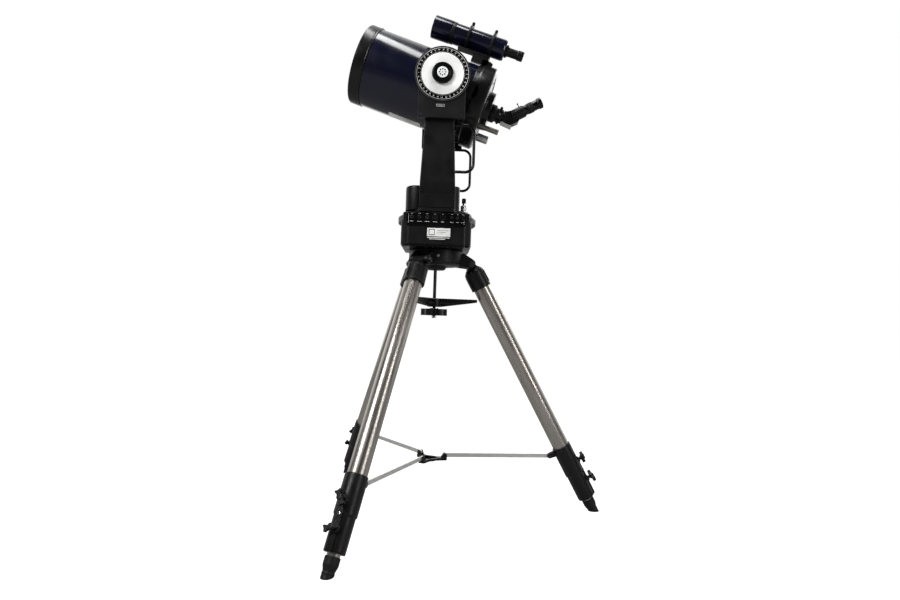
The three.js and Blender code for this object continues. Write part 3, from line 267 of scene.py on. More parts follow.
def rounded(profile, radius, steps=3, closed=True):
    """The profile with each corner turned into an arc of at most the radius."""
    count = len(profile)
    out = []
    for i, point in enumerate(profile):
        here = Vector(point)
        if not closed and i in (0, count - 1):
            out.append(here)
            continue
        before = Vector(profile[i - 1]) - here
        after = Vector(profile[(i + 1) % count]) - here
        reach = min(radius, before.length * 0.45, after.length * 0.45)
        straight = before.length < 1e-6 or after.length < 1e-6 or before.angle(after) > math.radians(172)
        if reach < 1e-4 or straight:
            out.append(here)
            continue
        start = here + before.normalized() * reach
        end = here + after.normalized() * reach
        for k in range(steps + 1):
            t = k / steps
            out.append(start * (1 - t) ** 2 + here * 2 * t * (1 - t) + end * t * t)
    return [tuple(v) for v in out]


def turned(profile, axis="z", facets=64, soften=0.8, flutes=0, flute_depth=0.0, closed=None):
    """A profile of (radius, height) points turned about an axis.

    A profile that starts and ends on the axis is solid; any other is a closed loop.
    Flutes press a ripple into the points whose radius is the largest.
    """
    loop = profile[0][0] > 1e-6 if closed is None else closed
    points = rounded(profile, soften, 3, loop) if soften else list(profile)
    largest = max(r for r, _ in points)
    axes = {"z": lambda r, c, s, h: (r * c, r * s, h), "x": lambda r, c, s, h: (h, r * c, r * s),
            "y": lambda r, c, s, h: (r * s, h, r * c)}[axis]

    def build(bm):
        rings = []
        for r, h in points:
            if r < 1e-6:
                rings.append([bm.verts.new(axes(0, 1, 0, h))])
                continue
            ring = []
            for i in range(facets):
                angle = TAU * i / facets
                dip = flute_depth * (0.5 + 0.5 * math.cos(angle * flutes)) if flutes and r > largest - 0.6 else 0
                ring.append(bm.verts.new(axes(r - dip, math.cos(angle), math.sin(angle), h)))
            rings.append(ring)
        pairs = list(zip(rings, rings[1:] + rings[:1])) if loop else list(zip(rings, rings[1:]))
        for a, b in pairs:
            for i in range(facets):
                j = (i + 1) % facets
                corners = [a[i % len(a)], a[j % len(a)], b[j % len(b)], b[i % len(b)]]
                unique = list(dict.fromkeys(corners))
                if len(unique) > 2:
                    bm.faces.new(unique)

    return mesh_of(build)


def cylinder(radius, low, high, *shape, **details):
    """A solid round bar; the rest goes on to turned()."""
    return turned([(0, low), (radius, low), (radius, high), (0, high)], *shape, **details)


def hollow(inner, outer, low, high, *shape, **details):
    """A round bar with a bore; the rest goes on to turned()."""
    return turned([(inner, low), (outer, low), (outer, high), (inner, high)], *shape, **details)


def prism(outline, low, high, plane="xy"):
    """A closed outline made thick: in the XY plane, or in XZ thick along Y, or in YZ thick along X."""
    lift = {"xy": lambda u, v, w: (u, v, w), "xz": lambda u, v, w: (u, w, v),
            "yz": lambda u, v, w: (w, u, v)}[plane]

    def build(bm):
        bottom = [bm.verts.new(lift(u, v, low)) for u, v in outline]
        top = [bm.verts.new(lift(u, v, high)) for u, v in outline]
        bm.faces.new(bottom)
        bm.faces.new(list(reversed(top)))
        for i in range(len(outline)):
            j = (i + 1) % len(outline)
            bm.faces.new([bottom[i], bottom[j], top[j], top[i]])

    return mesh_of(build)


def box(x, y, z):
    return prism([(x[0], y[0]), (x[1], y[0]), (x[1], y[1]), (x[0], y[1])], z[0], z[1])


def swept(path, radius, facets=20):
    """A round bar along a list of points, with flat ends."""
    points = [Vector(p) for p in path]

    def build(bm):
        rings = []
        side = None
        for i, point in enumerate(points):
            ahead = points[min(i + 1, len(points) - 1)] - points[max(i - 1, 0)]
            ahead.normalize()
            if side is None:
                side = ahead.orthogonal().normalized()
            side = (side - ahead * side.dot(ahead)).normalized()
            across = ahead.cross(side)
            ring = []
            for k in range(facets):
                angle = TAU * k / facets
                ring.append(bm.verts.new(point + (side * math.cos(angle) + across * math.sin(angle)) * radius))
            rings.append(ring)
        for a, b in zip(rings, rings[1:]):
            for k in range(facets):
                n = (k + 1) % facets
                bm.faces.new([a[k], a[n], b[n], b[k]])
        bm.faces.new(rings[0])
        bm.faces.new(rings[-1])

    return mesh_of(build)


def arc(cx, cy, radius, start, end, steps=12):
    """Points of an arc, angles in degrees."""
    out = []
    for k in range(steps + 1):
        angle = math.radians(start + (end - start) * k / steps)
        out.append((cx + radius * math.cos(angle), cy + radius * math.sin(angle)))
    return out


def rounded_box_outline(left, right, low, high, radius, steps=6):
    return (
        arc(right - radius, high - radius, radius, 0, 90, steps)
        + arc(left + radius, high - radius, radius, 90, 180, steps)
        + arc(left + radius, low + radius, radius, 180, 270, steps)
        + arc(right - radius, low + radius, radius, 270, 360, steps)
    )


def moved(mesh, x=0.0, y=0.0, z=0.0, turn=None):
    """Turns the mesh about its own origin (a Matrix or None), then shifts it."""
    if turn is not None:
        mesh.transform(turn.to_4x4())
    mesh.transform(Matrix.Translation((x, y, z)))
    return mesh


def about(axis, angle):
    return Matrix.Rotation(math.radians(angle), 4, axis.upper())


def merged(meshes):
    """One mesh from several that stay separate bodies inside it."""
    def build(bm):
        for mesh in meshes:
            bm.from_mesh(mesh)

    bm = bmesh.new()
    build(bm)
    out = bpy.data.meshes.new("merged")
    bm.to_mesh(out)
    bm.free()
    return out


def put(name, meshes, place, body, material, replaces=(), bevel=0.0, sharp=32):
    """Makes a piece in the row frame, rides it on its body and gives it its material and slot."""
    mesh = merged(meshes) if isinstance(meshes, (list, tuple)) else meshes
    mesh.transform(place)
    mesh.name = name
    mesh.shade_smooth()
    mesh.set_sharp_from_angle(angle=math.radians(sharp))
    piece = bpy.data.objects.new(name, mesh)
    bpy.context.scene.collection.objects.link(piece)
    mesh.materials.append(material)
    if bevel:
        modifier = piece.modifiers.new("edges", "BEVEL")
        modifier.width = bevel * MM
        modifier.segments = 3
        modifier.limit_method = "ANGLE"
        modifier.angle_limit = math.radians(40)
        modifier.harden_normals = False
    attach(piece, body)
    if replaces:
        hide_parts(*replaces)
    return piece


def carve(base, *tools):
    """The base mesh less each tool, or with a tool marked ("join", mesh) or ("common", mesh)."""
    host = bpy.data.objects.new("host", base)
    bpy.context.scene.collection.objects.link(host)
    helpers = []
    for tool in tools:
        kind, mesh = tool if isinstance(tool, tuple) else ("cut", tool)
        helper = bpy.data.objects.new("tool", mesh)
        bpy.context.scene.collection.objects.link(helper)
        helpers.append(helper)
        modifier = host.modifiers.new("boolean", "BOOLEAN")
        modifier.operation = {"cut": "DIFFERENCE", "join": "UNION", "common": "INTERSECT"}[kind]
        modifier.object = helper
        modifier.solver = "EXACT"
    graph = bpy.context.evaluated_depsgraph_get()
    out = bpy.data.meshes.new_from_object(host.evaluated_get(graph))
    for item in [host, *helpers]:
        bpy.data.objects.remove(item)
    return out


def hex_head(radius, low, high, axis="z"):
    """A hexagon bolt head with chamfered corners."""
    return turned([(0, low), (radius, low), (radius, high - 1), (radius * 0.86, high), (0, high)],
        axis, 6, 0)


def dome(radius, low, height, axis="z", facets=24):
    """A pan-head screw with a crossed recess left out and a domed top."""
    return turned(
        [(0, low), (radius, low), (radius, low + height * 0.4), (radius * 0.8, low + height * 0.85),
            (0, low + height)],
        axis, facets, 0.3,
    )


# ------------------------------------------------------------------ camera, lights, floor
def camera():
    """Level with the tripod's upper half, with a slight roll, looking at the near side."""
    yaw, pitch, roll = math.radians(-0.50), math.radians(-1.54), math.radians(1.92)
    place = Vector((AXIS.x + 0.0315, AXIS.y - 1.8429, 0.589))
    forward = Vector((-math.sin(yaw) * math.cos(pitch), math.cos(yaw) * math.cos(pitch),
        -math.sin(pitch)))
    right = Vector((math.cos(yaw), math.sin(yaw), 0))
    up = right.cross(forward)
    rolled_right = right * math.cos(roll) + up * math.sin(roll)
    rolled_up = up * math.cos(roll) - right * math.sin(roll)
    data = bpy.data.cameras.new("camera")
    data.sensor_width = 36
    data.lens = 24.25
    item = bpy.data.objects.new("camera", data)
    turn = Matrix((rolled_right, rolled_up, -forward)).transposed()
    item.matrix_world = Matrix.Translation(place) @ turn.to_4x4()
    bpy.context.scene.collection.objects.link(item)
    bpy.context.scene.camera = item


def softbox(name, place, aim, width, height, power):
    data = bpy.data.lights.new(name, "AREA")
    data.shape = "RECTANGLE"
    data.size = width
    data.size_y = height
    data.energy = power
    item = bpy.data.objects.new(name, data)
    item.location = place
    item.rotation_euler = (Vector(aim) - Vector(place)).to_track_quat("-Z", "Y").to_euler()
    bpy.context.scene.collection.objects.link(item)


def seen_white(tree, strength):
    """Full strength where the backdrop is looked at directly, the given strength where it lights the object."""
    direct = add_node(tree, "ShaderNodeLightPath").outputs["Is Camera Ray"]
    inputs = {"Value": direct, "From Min": 0.0, "From Max": 1.0, "To Min": strength, "To Max": 1.0}
    return add_node(tree, "ShaderNodeMapRange", inputs).outputs["Result"]


def studio():
    """A pale floor, a white surround that is darker behind the camera, and four soft lights."""
    softbox("key_light", (-1.9, -2.2, 2.7), (0, 0, 0.9), 0.7, 1.6, 60)
    softbox("fill_light", (2.4, -2.0, 1.5), (0, 0, 0.7), 0.35, 2.2, 22)
    softbox("top_light", (-0.3, -0.2, 3.4), (0, 0, 0.8), 2.0, 0.5, 40)
    softbox("rim_light", (1.6, 2.6, 2.2), (0, 0, 1.0), 1.2, 1.2, 20)
    world = bpy.data.worlds.new("studio")
    world.use_nodes = True
    tree = world.node_tree
    direction = add_node(tree, "ShaderNodeTexCoord").outputs["Generated"]
    depth = add_node(tree, "ShaderNodeSeparateXYZ", {"Vector": direction}).outputs["Y"]
    shade = add_node(tree, "ShaderNodeMapRange", {
        "Value": depth, "From Min": 0.05, "From Max": 0.55, "To Min": 0.07, "To Max": 1.02,
    }).outputs["Result"]
    background = tree.nodes["Background"]
    background.inputs["Color"].default_value = (1, 1, 1, 1)
    tree.links.new(seen_white(tree, shade), background.inputs["Strength"])
    bpy.context.scene.world = world
    bpy.context.scene.view_settings.view_transform = "Standard"

    mesh = box((-9000, 9000), (-9000, 9000), (-20, 0))
    mesh.transform(Matrix.Scale(MM, 4))
    floor = bpy.data.objects.new("studio_floor", mesh)
    bpy.context.scene.collection.objects.link(floor)
    material, tree, shader = new_material("floor_white")
    tree.links.new(tint(tree, noise(tree, 3, 3), (0.30, 0.30, 0.298), (0.34, 0.34, 0.337)),
        shader.inputs["Base Color"])
    shader.inputs["Roughness"].default_value = 0.8
    shader.inputs["Specular IOR Level"].default_value = 0.0
    shader.inputs["Emission Color"].default_value = (1, 1, 1, 1)
    dim = add_node(tree, "ShaderNodeValue").outputs["Value"]
    dim.default_value = 0.03
    tree.links.new(seen_white(tree, dim), shader.inputs["Emission Strength"])
    mesh.materials.append(material)


# ------------------------------------------------------------------ tripod legs
HINGE_Z = joints["leg_fold_1"]["pos_m"][2] / MM
EAR_IN = 17.3
EAR_OUT = 28.3
COLLAR = 29.0
COLLAR_STEP = 735
TUBE_ROOM = 26.2
KNOB_PLACES = {"upper": 692, "lower": 757}
PEDESTAL_TOP = 33.0


def leg_casting(number):
    """Black cast top: a tongue between the head's ears, flaring into the socket of the leg tube."""
    socket = turned([
        (0, -24), (25.6, -24), (25.6, -80), (26.6, -81.5), (30.6, -81.5), (31, -78), (30, -40),
        (30, -27), (22, -16),
        (0, -16),
    ], soften=1.5)
    tongue_outline = arc(0, 0, 13, 0, 180, 16) + [(-15, -22), (15, -22)]
    tongue = prism(tongue_outline, -17, 17, "xz")
    ribs = [prism([(0, -10), (-13, -8), (-29.5, -34), (-29.5, -70), (0, -30)], y - 2.2, y + 2.2, "xz")
            for y in (-12, 12)]
    outer_ribs = [prism([(0, -10), (13, -8), (29.8, -34), (30.6, -72), (0, -30)], y - 2.2, y + 2.2, "xz")
                  for y in (-12, 12)]
    put(f"leg_casting_body_{number}", [socket, tongue, *ribs, *outer_ribs], LEG[number],
        f"leg_{number}", BLACK,
        [f"leg_casting_{number}"], 0.9)
    heads = []
    for side in (-1, 1):
        washer = cylinder(10, 0, 1.6, "y", 32, 0.4)
        head = hex_head(8.2, 1.6, 6.4, "y")
        for mesh in (washer, head):
            turn = about("z", 0 if side > 0 else 180)
            heads.append(moved(mesh, y=side * (EAR_OUT + GAP), turn=turn))
    put(f"hinge_bolt_{number}", heads, LEG[number], f"leg_{number}", ROD)


def leg_tube(number):
    tube = turned([(25.4, -24.4), (25.4, -734.5), (23.8, -734.5), (23.8, -24.4)], facets=96, soften=0.3)
    put(f"leg_tube_steel_{number}", tube, LEG[number], f"leg_{number}", STEEL[number],
        [f"leg_tube_{number}"])


def leg_collar(number):
    """Moulded collar: full-bore sleeve, a step to the bush, an outer rib with two knob pedestals."""
    sleeve = turned([
        (25.7, -629), (26.3, -628), (28.4, -628), (COLLAR, -629.5), (COLLAR, -722), (26.5, -726),
        (26.2, -803),
        (25.4, -807), (16.4, -807), (16.4, -COLLAR_STEP), (25.7, -COLLAR_STEP),
    ], soften=1.0, facets=72)
    rib = prism([(TUBE_ROOM, -674), (COLLAR, -680), (COLLAR + 0.6, -690), (COLLAR + 0.4, -800),
        (COLLAR - 1.5, -807), (19, -807),
                 (19, -738), (TUBE_ROOM, -COLLAR_STEP - 1)], -8.5, 8.5, "xz")
    pedestals = []
    for place in KNOB_PLACES.values():
        inner = TUBE_ROOM if place < COLLAR_STEP else 19
        cone = turned([(0, inner), (12, inner), (11, COLLAR), (9, PEDESTAL_TOP - 0.8),
            (8.2, PEDESTAL_TOP), (0, PEDESTAL_TOP)],
                      "x", 36, 0.6)
        pedestals.append(moved(cone, z=-place))
    pivot = LEG[number].inverted() @ Vector(joints[f"strut_fold_{number}"]["pos_m"])
    ears = []
    for side in (-1, 1):
        low, high = sorted((side * 2.4, side * 6.3))
        outline = arc(pivot.x, pivot.z, 7.5, 90, 270, 12) + [(-24, pivot.z - 12), (-24, pivot.z + 6)]
        ears.append(prism(outline, low, high, "xz"))
    put(f"collar_body_{number}", [sleeve, rib, *pedestals, *ears], LEG[number], f"leg_{number}", PLASTIC,
        [f"leg_collar_{number}"], 0.8)
    pin = turned([(0, -7.6), (3.4, -7.6), (3.4, -6.4), (2.4, -6.4), (2.4, 6.4), (3.4, 6.4), (3.4, 7.6),
        (0, 7.6)],
                 "y", 24, 0.3)
    screw = dome(4.2, COLLAR + 0.3, 2.6, "x")
    middle = -sum(KNOB_PLACES.values()) / 2 + 1
    put(f"strut_pin_{number}", moved(pin, pivot.x, 0, pivot.z), LEG[number], f"leg_{number}", ROD)
    put(f"collar_screw_{number}", moved(screw, z=middle), LEG[number], f"leg_{number}", CHROME)


def leg_extension(number):
    tube = turned([
        (13.5, -430), (23.4, -430), (23.4, -448), (16, -448.4), (16, -835.8), (13.5, -835.8),
    ], facets=72, soften=0.4)
    put(f"extension_tube_{number}", tube, LEG[number], f"extension_{number}", STEEL[number],
        [f"leg_extension_{number}"])


def rubber_foot(number):
    """Boot with two grip rings, cut flat on the floor."""
    profile = [
        (0, -836.2), (16.3, -836.2), (16.3, -814), (18.1, -814), (18.6, -816), (18.6, -831),
        (18.1, -834), (15.4, -842),
        (14.6, -846), (15.3, -849), (15.3, -851.5), (14.6, -854), (15, -858), (15, -892), (0, -892),
    ]
    mesh = turned(profile, facets=64, soften=1.0)
    mesh.transform(LEG[number])
    bm = bmesh.new()
    bm.from_mesh(mesh)
    everything = bm.verts[:] + bm.edges[:] + bm.faces[:]
    bmesh.ops.bisect_plane(bm, geom=everything, plane_co=(0, 0, 0), plane_no=(0, 0, -1),
        clear_outer=True)
    open_edges = [edge for edge in bm.edges if edge.is_boundary]
    bmesh.ops.edgeloop_fill(bm, edges=open_edges)
    bm.to_mesh(mesh)
    bm.free()
    put(f"rubber_boot_{number}", mesh, Matrix.Identity(4), f"extension_{number}", RUBBER,
        [f"foot_{number}"])


def lock_knob(number, place):
    """T-shaped wing knob: two flared, notched ends on a waisted bar, over a round boss."""
    half = [(0, 4.6), (6, 4.8), (11, 6.2), (15.5, 8.4), (19.6, 7.4), (17.4, 0), (19.6, -7.4),
        (15.5, -8.4),
            (11, -6.2), (6, -4.8), (0, -4.6)]
    outline = rounded(half[:-1] + [(-x, y) for x, y in reversed(half[1:])], 2.2, 3)
    wing = prism(outline, 7.0, 16.2)
    boss = turned([(0, 4.5), (7.5, 4.5), (8, 6), (7.6, 17), (6, 18.2), (0, 18.2)], facets=40, soften=0.8)
    stem = cylinder(4.8, 0.2, 6, facets=28, soften=0.2)
    wing = merged([wing, boss, stem])
    knob_turn = 35 if place == "upper" else 115
    turn = about("x", knob_turn) @ about("y", 90)
    put(f"wing_knob_{place}_{number}", moved(wing, PEDESTAL_TOP + GAP, 0, -KNOB_PLACES[place], turn),
        LEG[number],
        f"lock_knob_{place}_{number}", PLASTIC, [f"lock_knob_{place}_{number}"], 0.9)


# ------------------------------------------------------------------ struts, hub, spreader, rod
STRUT_Z = joints["strut_fold_1"]["pos_m"][2] / MM
STRUT_IN = 45.0
STRUT_OUT = 373.0


def strut(number):
    """Flat bar with rolled edges and round eyes."""
    outline = arc(STRUT_OUT, STRUT_Z, 6, -90, 90, 10) + arc(STRUT_IN, STRUT_Z, 6, 90, 270, 10)
    hole = cylinder(2.8, -10, 10, "y", 24, 0)
    bar = carve(prism(outline, -1.9, 1.9, "xz"), moved(hole, STRUT_OUT, 0, STRUT_Z))
    put(f"strut_bar_{number}", bar, SIDE[number], f"strut_{number}", STRUT,
        [f"strut_{number}"], 0.5)
    rivet = cylinder(2.6, -2.9, 2.9, "y", 24, 0.4)
    put(f"strut_rivet_{number}", moved(rivet, STRUT_IN, 0, STRUT_Z), SIDE[number], f"strut_{number}",
        ROD)


def strut_hub():
    """Three-lobed moulding with a pair of ears at each lobe."""
    top = STRUT_Z - 6.6
    meshes = [turned([(0, top - 8), (24, top - 8), (27, top - 5), (27, top - 1), (25, top), (0, top)],
        facets=60)]
    turn_back = SIDE[1].inverted()
    for number in LEGS:
        turn = (turn_back @ SIDE[number]).to_3x3()
        lobe = prism([(0, -17), (30, -12), (51, -10), (54, -7), (54, 7), (51, 10), (30, 12), (0, 17)],
            top - 8, top)
        pieces = [lobe]
        for side in (-1, 1):
            low, high = sorted((side * 2.8, side * 7.2))
            outline = arc(47, STRUT_Z, 6.8, 0, 180, 12) + [(32, top - 4), (54, top - 4)]
            pieces.append(prism(outline, low, high, "xz"))
        meshes += [moved(piece, turn=turn) for piece in pieces]
    put("hub_moulding", meshes, SIDE[1], "strut_hub", PLASTIC, ["strut_hub"], 0.9)


def spreader():
    """Three tapering arms, each a deep web under a flat top flange."""
    top, bottom = 642.0, 616.2
    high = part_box("spreader")[1]
    meshes = [turned([(5.6, bottom), (20, bottom), (21, bottom + 2), (21, top - 1), (20, top),
        (5.6, top)], facets=48)]
    turn_back = SIDE[1].inverted()
    tip = (high.x - AXIS.x) / MM + 0.6
    for number in LEGS:
        turn = (turn_back @ SIDE[number]).to_3x3()
        web = prism([(8, bottom), (20, bottom), (tip, top - 9), (tip, top), (8, top)], -3, 3, "xz")
        flange = prism([(8, -14.5), (tip, -4.4), (tip, 4.4), (8, 14.5)], top - 4, top)
        foot_rail = prism([(8, -14.5), (60, -8), (60, 8), (8, 14.5)], bottom + 9, bottom + 14)
        meshes += [moved(mesh, turn=turn) for mesh in (web, flange)]
        meshes.append(moved(foot_rail, turn=turn))
    put("spreader_casting", meshes, SIDE[1], "spreader", BLACK, ["spreader"], 0.7)


def tension_rod():
    """Rolled rod, threaded below the spreader, with its bright end nut."""
    thread = []
    z = 583.0
    while z < 640:
        thread += [(5.0, z), (4.4, z + 0.75)]
        z += 1.5
    profile = [(0, 582), (4.0, 582)] + thread + [(4.9, 641), (4.9, 789), (0, 789)]
    put("rod_threaded", turned(profile, facets=32, soften=0), STAND, "tripod_head", ROD,
        ["tension_rod"])
    nut = merged([hex_head(8.6, 584.4, 589.4), hollow(5.2, 6.6, 582, 584.6, facets=32)])
    put("rod_end_nut", nut, STAND, "tension_knob", CHROME)


def tension_knob():
    """Lobed hand wheel with a dished underside and a bright washer on top."""
    lobes = 6
    outline = []
    for k in range(96):
        angle = TAU * k / 96
        radius = 36.4 + 3.4 * math.cos(angle * lobes)
        outline.append((radius * math.cos(angle), radius * math.sin(angle)))
    wheel = carve(
        prism(outline, 590, 610),
        turned([(0, 589), (28, 589), (24, 594), (0, 594)], facets=48),
        cylinder(5.4, 580, 620, facets=32, soften=0),
    )
    hub = turned([(5.4, 590.4), (13, 590.4), (12, 600), (5.4, 600)], facets=40)
    put("hand_wheel", [wheel, hub], STAND, "tension_knob", PLASTIC, ["tension_knob"],
        1.6)
    washer = hollow(5.4, 15, 610.3, 612.3, facets=40, soften=0.3)
    put("tension_washer", washer, STAND, "tension_knob", CHROME)


def tripod_head():
    """Cast disc with a stepped underside and a pair of ears for each leg."""
    disc = turned([
        (5.4, HINGE_Z - 22), (27, HINGE_Z - 22), (31, HINGE_Z - 18), (34, HINGE_Z - 10),
        (70, HINGE_Z - 10),
        (80.5, HINGE_Z - 5), (81.4, HINGE_Z), (81.4, HINGE_Z + 34), (80, HINGE_Z + 36),
        (5.4, HINGE_Z + 36),
    ], facets=96, soften=1.6)
    slots = []
    ears = []
    for number in LEGS:
        turn = (SIDE[1].inverted() @ SIDE[number]).to_3x3()
        slot = box((88.5, 150), (-EAR_IN, EAR_IN), (HINGE_Z - 30, HINGE_Z + 31))
        slots.append(moved(slot, turn=turn))
        for side in (-1, 1):
            low, high = sorted((side * EAR_IN, side * EAR_OUT))
            outline = (
                [(58, HINGE_Z - 9)] + arc(105, HINGE_Z, 14, -90, 62, 14)
                + [(86, HINGE_Z + 28), (80, HINGE_Z + 30), (58, HINGE_Z + 30)]
            )
            ears.append(moved(prism(outline, low, high, "xz"), turn=turn))
    put("head_casting", [carve(disc, *slots), *ears], SIDE[1], "tripod_head", BLACK,
        ["tripod_head"], 1.2)
    bolts = []
    for angle in (-84, 36, 156):
        bolt = dome(4.6, 81.2, 3.0, "x")
        bolts.append(moved(moved(bolt, z=HINGE_Z + 16), turn=about("z", angle)))
    put("head_bolts", bolts, STAND, "tripod_head", CHROME)


# ------------------------------------------------------------------ drive base
def drive_outline(inset=0.0):
    """The CAD housing's chamfered outline, drawn in by an inset, with softened corners."""
    low, high = local_box("drive_base")
    x = high.x - inset
    front = low.y + inset
    back = high.y - inset
    corner = 19.5 - inset / 2
    points = [(-x, front + corner), (corner - x, front), (x - corner, front), (x, front + corner),
              (x, back - corner), (x - corner, back), (corner - x, back), (-x, back - corner)]
    return rounded(points, 7, 5)


def drive_base():
    low, high = local_box("drive_base")
    lid = local_box("azimuth_circle")[0].z - GAP
    body = prism(drive_outline(), low.z + 3, lid)
    shell = carve(
        body,
        prism(drive_outline(4), low.z - 5, lid - 6),
        cylinder(31, low.z, lid + 9, facets=64, soften=0),
    )
    lip = carve(prism(drive_outline(0), low.z, low.z + 4.5),
        prism(drive_outline(4), low.z - 5, low.z + 20))
    wall = box((-94, 94), (low.y, low.y + 4), (lid - 4, high.z))
    put("base_housing", [shell, wall], STAND, "tripod_head", BLACK, ["drive_base"], 1.4)
    put("base_lip", lip, STAND, "tripod_head", CELL, (), 0.8)
    plate_low, plate_high = local_box("base_plate")
    floor_plate = prism(drive_outline(3), plate_low.z, plate_high.z)
    bore = cylinder(5.4, plate_low.z - 2, plate_high.z + 2,
                  facets=32, soften=0)
    put("base_floor", carve(floor_plate, bore), STAND, "tripod_head", CELL,
        ["base_plate"], 0.5)


def socket_ring(x, z, y, radius):
    """A panel jack: threaded collar round a dark hole."""
    ring = hollow(radius * 0.45, radius, y - 2.0, y + 0.2, "y", 32, 0.4)
    return moved(ring, x, 0, z)


def power_panel():
    """Panel with jacks, two square ports, a rocker switch and plain printed lines."""
    low, high = local_box("power_panel")
    face = low.y + 2.0
    middle = (low.z + high.z) / 2
    board = prism(rounded_box_outline(low.x + 0.3, high.x - 0.3, low.z + 0.3, high.z - 0.3, 3), face,
        high.y, "xz")
    put("panel_board", board, STAND, "tripod_head", GLOSS, ["power_panel"], 0.6)
    upper = middle + 6
    rings = [socket_ring(x, upper, face, 5.5) for x in (-70, -48, -26)]
    rings += [socket_ring(x, upper, face, 4.5) for x in (44, 60)]
    put("panel_jacks", rings, STAND, "tripod_head", ROD)
    ports = []
    for x in (-4, 18):
        port = carve(box((x - 8, x + 8), (face - 1.6, face + 0.2), (upper - 7, upper + 7)),
                     box((x - 5.5, x + 5.5), (face - 3, face - 0.4), (upper - 4.5, upper + 4.5)))
        ports.append(port)
    rocker = prism([(face - 0.2, upper - 6), (face - 2.0, upper - 6), (face - 0.9, upper),
        (face - 1.6, upper + 6),
                    (face - 0.2, upper + 6)], 72, 80, "yz")
    put("panel_ports", [*ports, rocker], STAND, "tripod_head", PLASTIC, (), 0.3)
    marks = []
    for x, width in ((-70, 9), (-48, 13), (-26, 13), (-4, 12), (18, 9), (44, 10), (60, 8), (76, 11)):
        marks.append(box((x - width / 2, x + width / 2), (face - 0.25, face + 0.1),
            (upper - 13.2, upper - 12.0)))
        marks.append(box((x - width / 4, x + width / 4), (face - 0.25, face + 0.1),
            (upper + 9.4, upper + 10.2)))
    for x in (-79, 79):
        marks.append(box((x - 0.4, x + 0.4), (face - 0.25, face + 0.1), (middle - 12, middle + 14)))
    put("panel_lines", marks, STAND, "tripod_head", PALE_MARK)


def base_label():
    """Blank white label with a plain border, and two printed lines below it."""
    front = local_box("drive_base")[0].y
    left, right, low, high = -25.0, 41.0, 815.0, 839.0
    sheet = prism(rounded_box_outline(left, right, low, high, 1.2), front - 0.5, front - 0.1, "xz")
    lines = [
        box((left + 1, right - 2), (front - 0.5, front - 0.1), (low - 4.6, low - 2.6)),
        box((left + 6, right - 14), (front - 0.5, front - 0.1), (low - 8.6, low - 6.8)),
    ]
    put("base_label", [sheet, *lines], STAND, "tripod_head", LABEL)
    x, z = left + 13, (low + high) / 2
    outline, room = (rounded_box_outline(x - half, x + half, z - half, z + half, radius)
                     for half, radius in ((8.5, 2.5), (6.9, 1.6)))
    square = carve(prism(outline, front - 0.75, front - 0.45, "xz"),
        prism(room, front - 2, front + 2, "xz"))
    frame_lines = [square]
    for step in range(3):
        z = high - 7 - step * 5
        frame_lines.append(box((left + 27, right - 6 - step * 7), (front - 0.75, front - 0.45),
            (z - 0.5, z + 0.5)))
    put("label_print", frame_lines, STAND, "tripod_head", PLASTIC)


def azimuth_circle():
    low, high = local_box("azimuth_circle")
    z0, z1 = low.z, high.z
    ring = turned([(34.2, z0), (113, z0), (117, z0 + 3), (117.4, z0 + 6), (117.4, z1 - 6),
        (117, z1 - 3), (113, z1), (34.2, z1)],
                  facets=128, soften=1.6)
    put("azimuth_ring", ring, STAND, "azimuth_circle", CIRCLE_GREY, ["azimuth_circle"])
    ticks = []
    count = 120
    for k in range(count):
        length = 8 if k % 5 == 0 else 4.5
        tick = box((117.2, 117.45), (-0.35, 0.35), (z1 - 8 - length, z1 - 8))
        ticks.append(moved(tick, turn=about("z", 360 * k / count)))
    put("azimuth_ticks", ticks, STAND, "azimuth_circle", PLASTIC)


def azimuth_drive():
    """The hidden worm wheel and motor keep their CAD shape and get new finishes: brass on the wheel, satin paint
    on the motor.
    """
    frame["nodes"]["azimuth_gear"].data.materials.clear()
    frame["nodes"]["azimuth_gear"].data.materials.append(BRASS)
    frame["nodes"]["azimuth_motor"].data.materials.clear()
    frame["nodes"]["azimuth_motor"].data.materials.append(SATIN)


# ------------------------------------------------------------------ fork
ARM_IN = 122.0
ARM_OUT = 148.0
TRUNNION_BORE = 12.3
FOOT_INSET = 30.0


def fork_base():
    low, high = local_box("fork_base")
    flange_low = local_box("azimuth_circle")[1].z + GAP
    flange_top = flange_low + 12
    flange = turned([(0, flange_low), (103, flange_low), (105, flange_low + 2), (105, flange_top - 3),
                     (102, flange_top), (0, flange_top)], facets=96, soften=1.2)
    pads = prism(rounded_box_outline(-52, 52, -118.6, 118.6, 6), flange_low, flange_top)
    hub_half = 89.0
    hub = prism(rounded_box_outline(-60, 65.5, -hub_half, hub_half, 22, 8), flange_top - 2, high.z)
    drum = turned([(0, flange_top - 2), (34, flange_top - 2), (34, high.z - 4), (30, high.z),
        (0, high.z)],
                  facets=64, soften=2)
    drums = [moved(drum.copy(), -59.6, y) for y in (-54, 54)]
    back = prism(rounded_box_outline(-93.6, 0, -54, 54, 12, 6), flange_top - 2, high.z - 1.5)
    spindle = cylinder(29.5, low.z, flange_low + 1, facets=48)
    put("fork_casting", [flange, pads, hub, back, *drums, spindle], STAND, "fork", BLACK,
        ["fork_base"], 2.2)
    screws = []
    for angle in (25, 65, 115, 155, 205, 245, 295, 335):
        screw = dome(3.4, flange_top, 2.2)
        screws.append(moved(moved(screw, x=98), turn=about("z", angle)))
    put("flange_screws", screws, STAND, "fork", ROD)


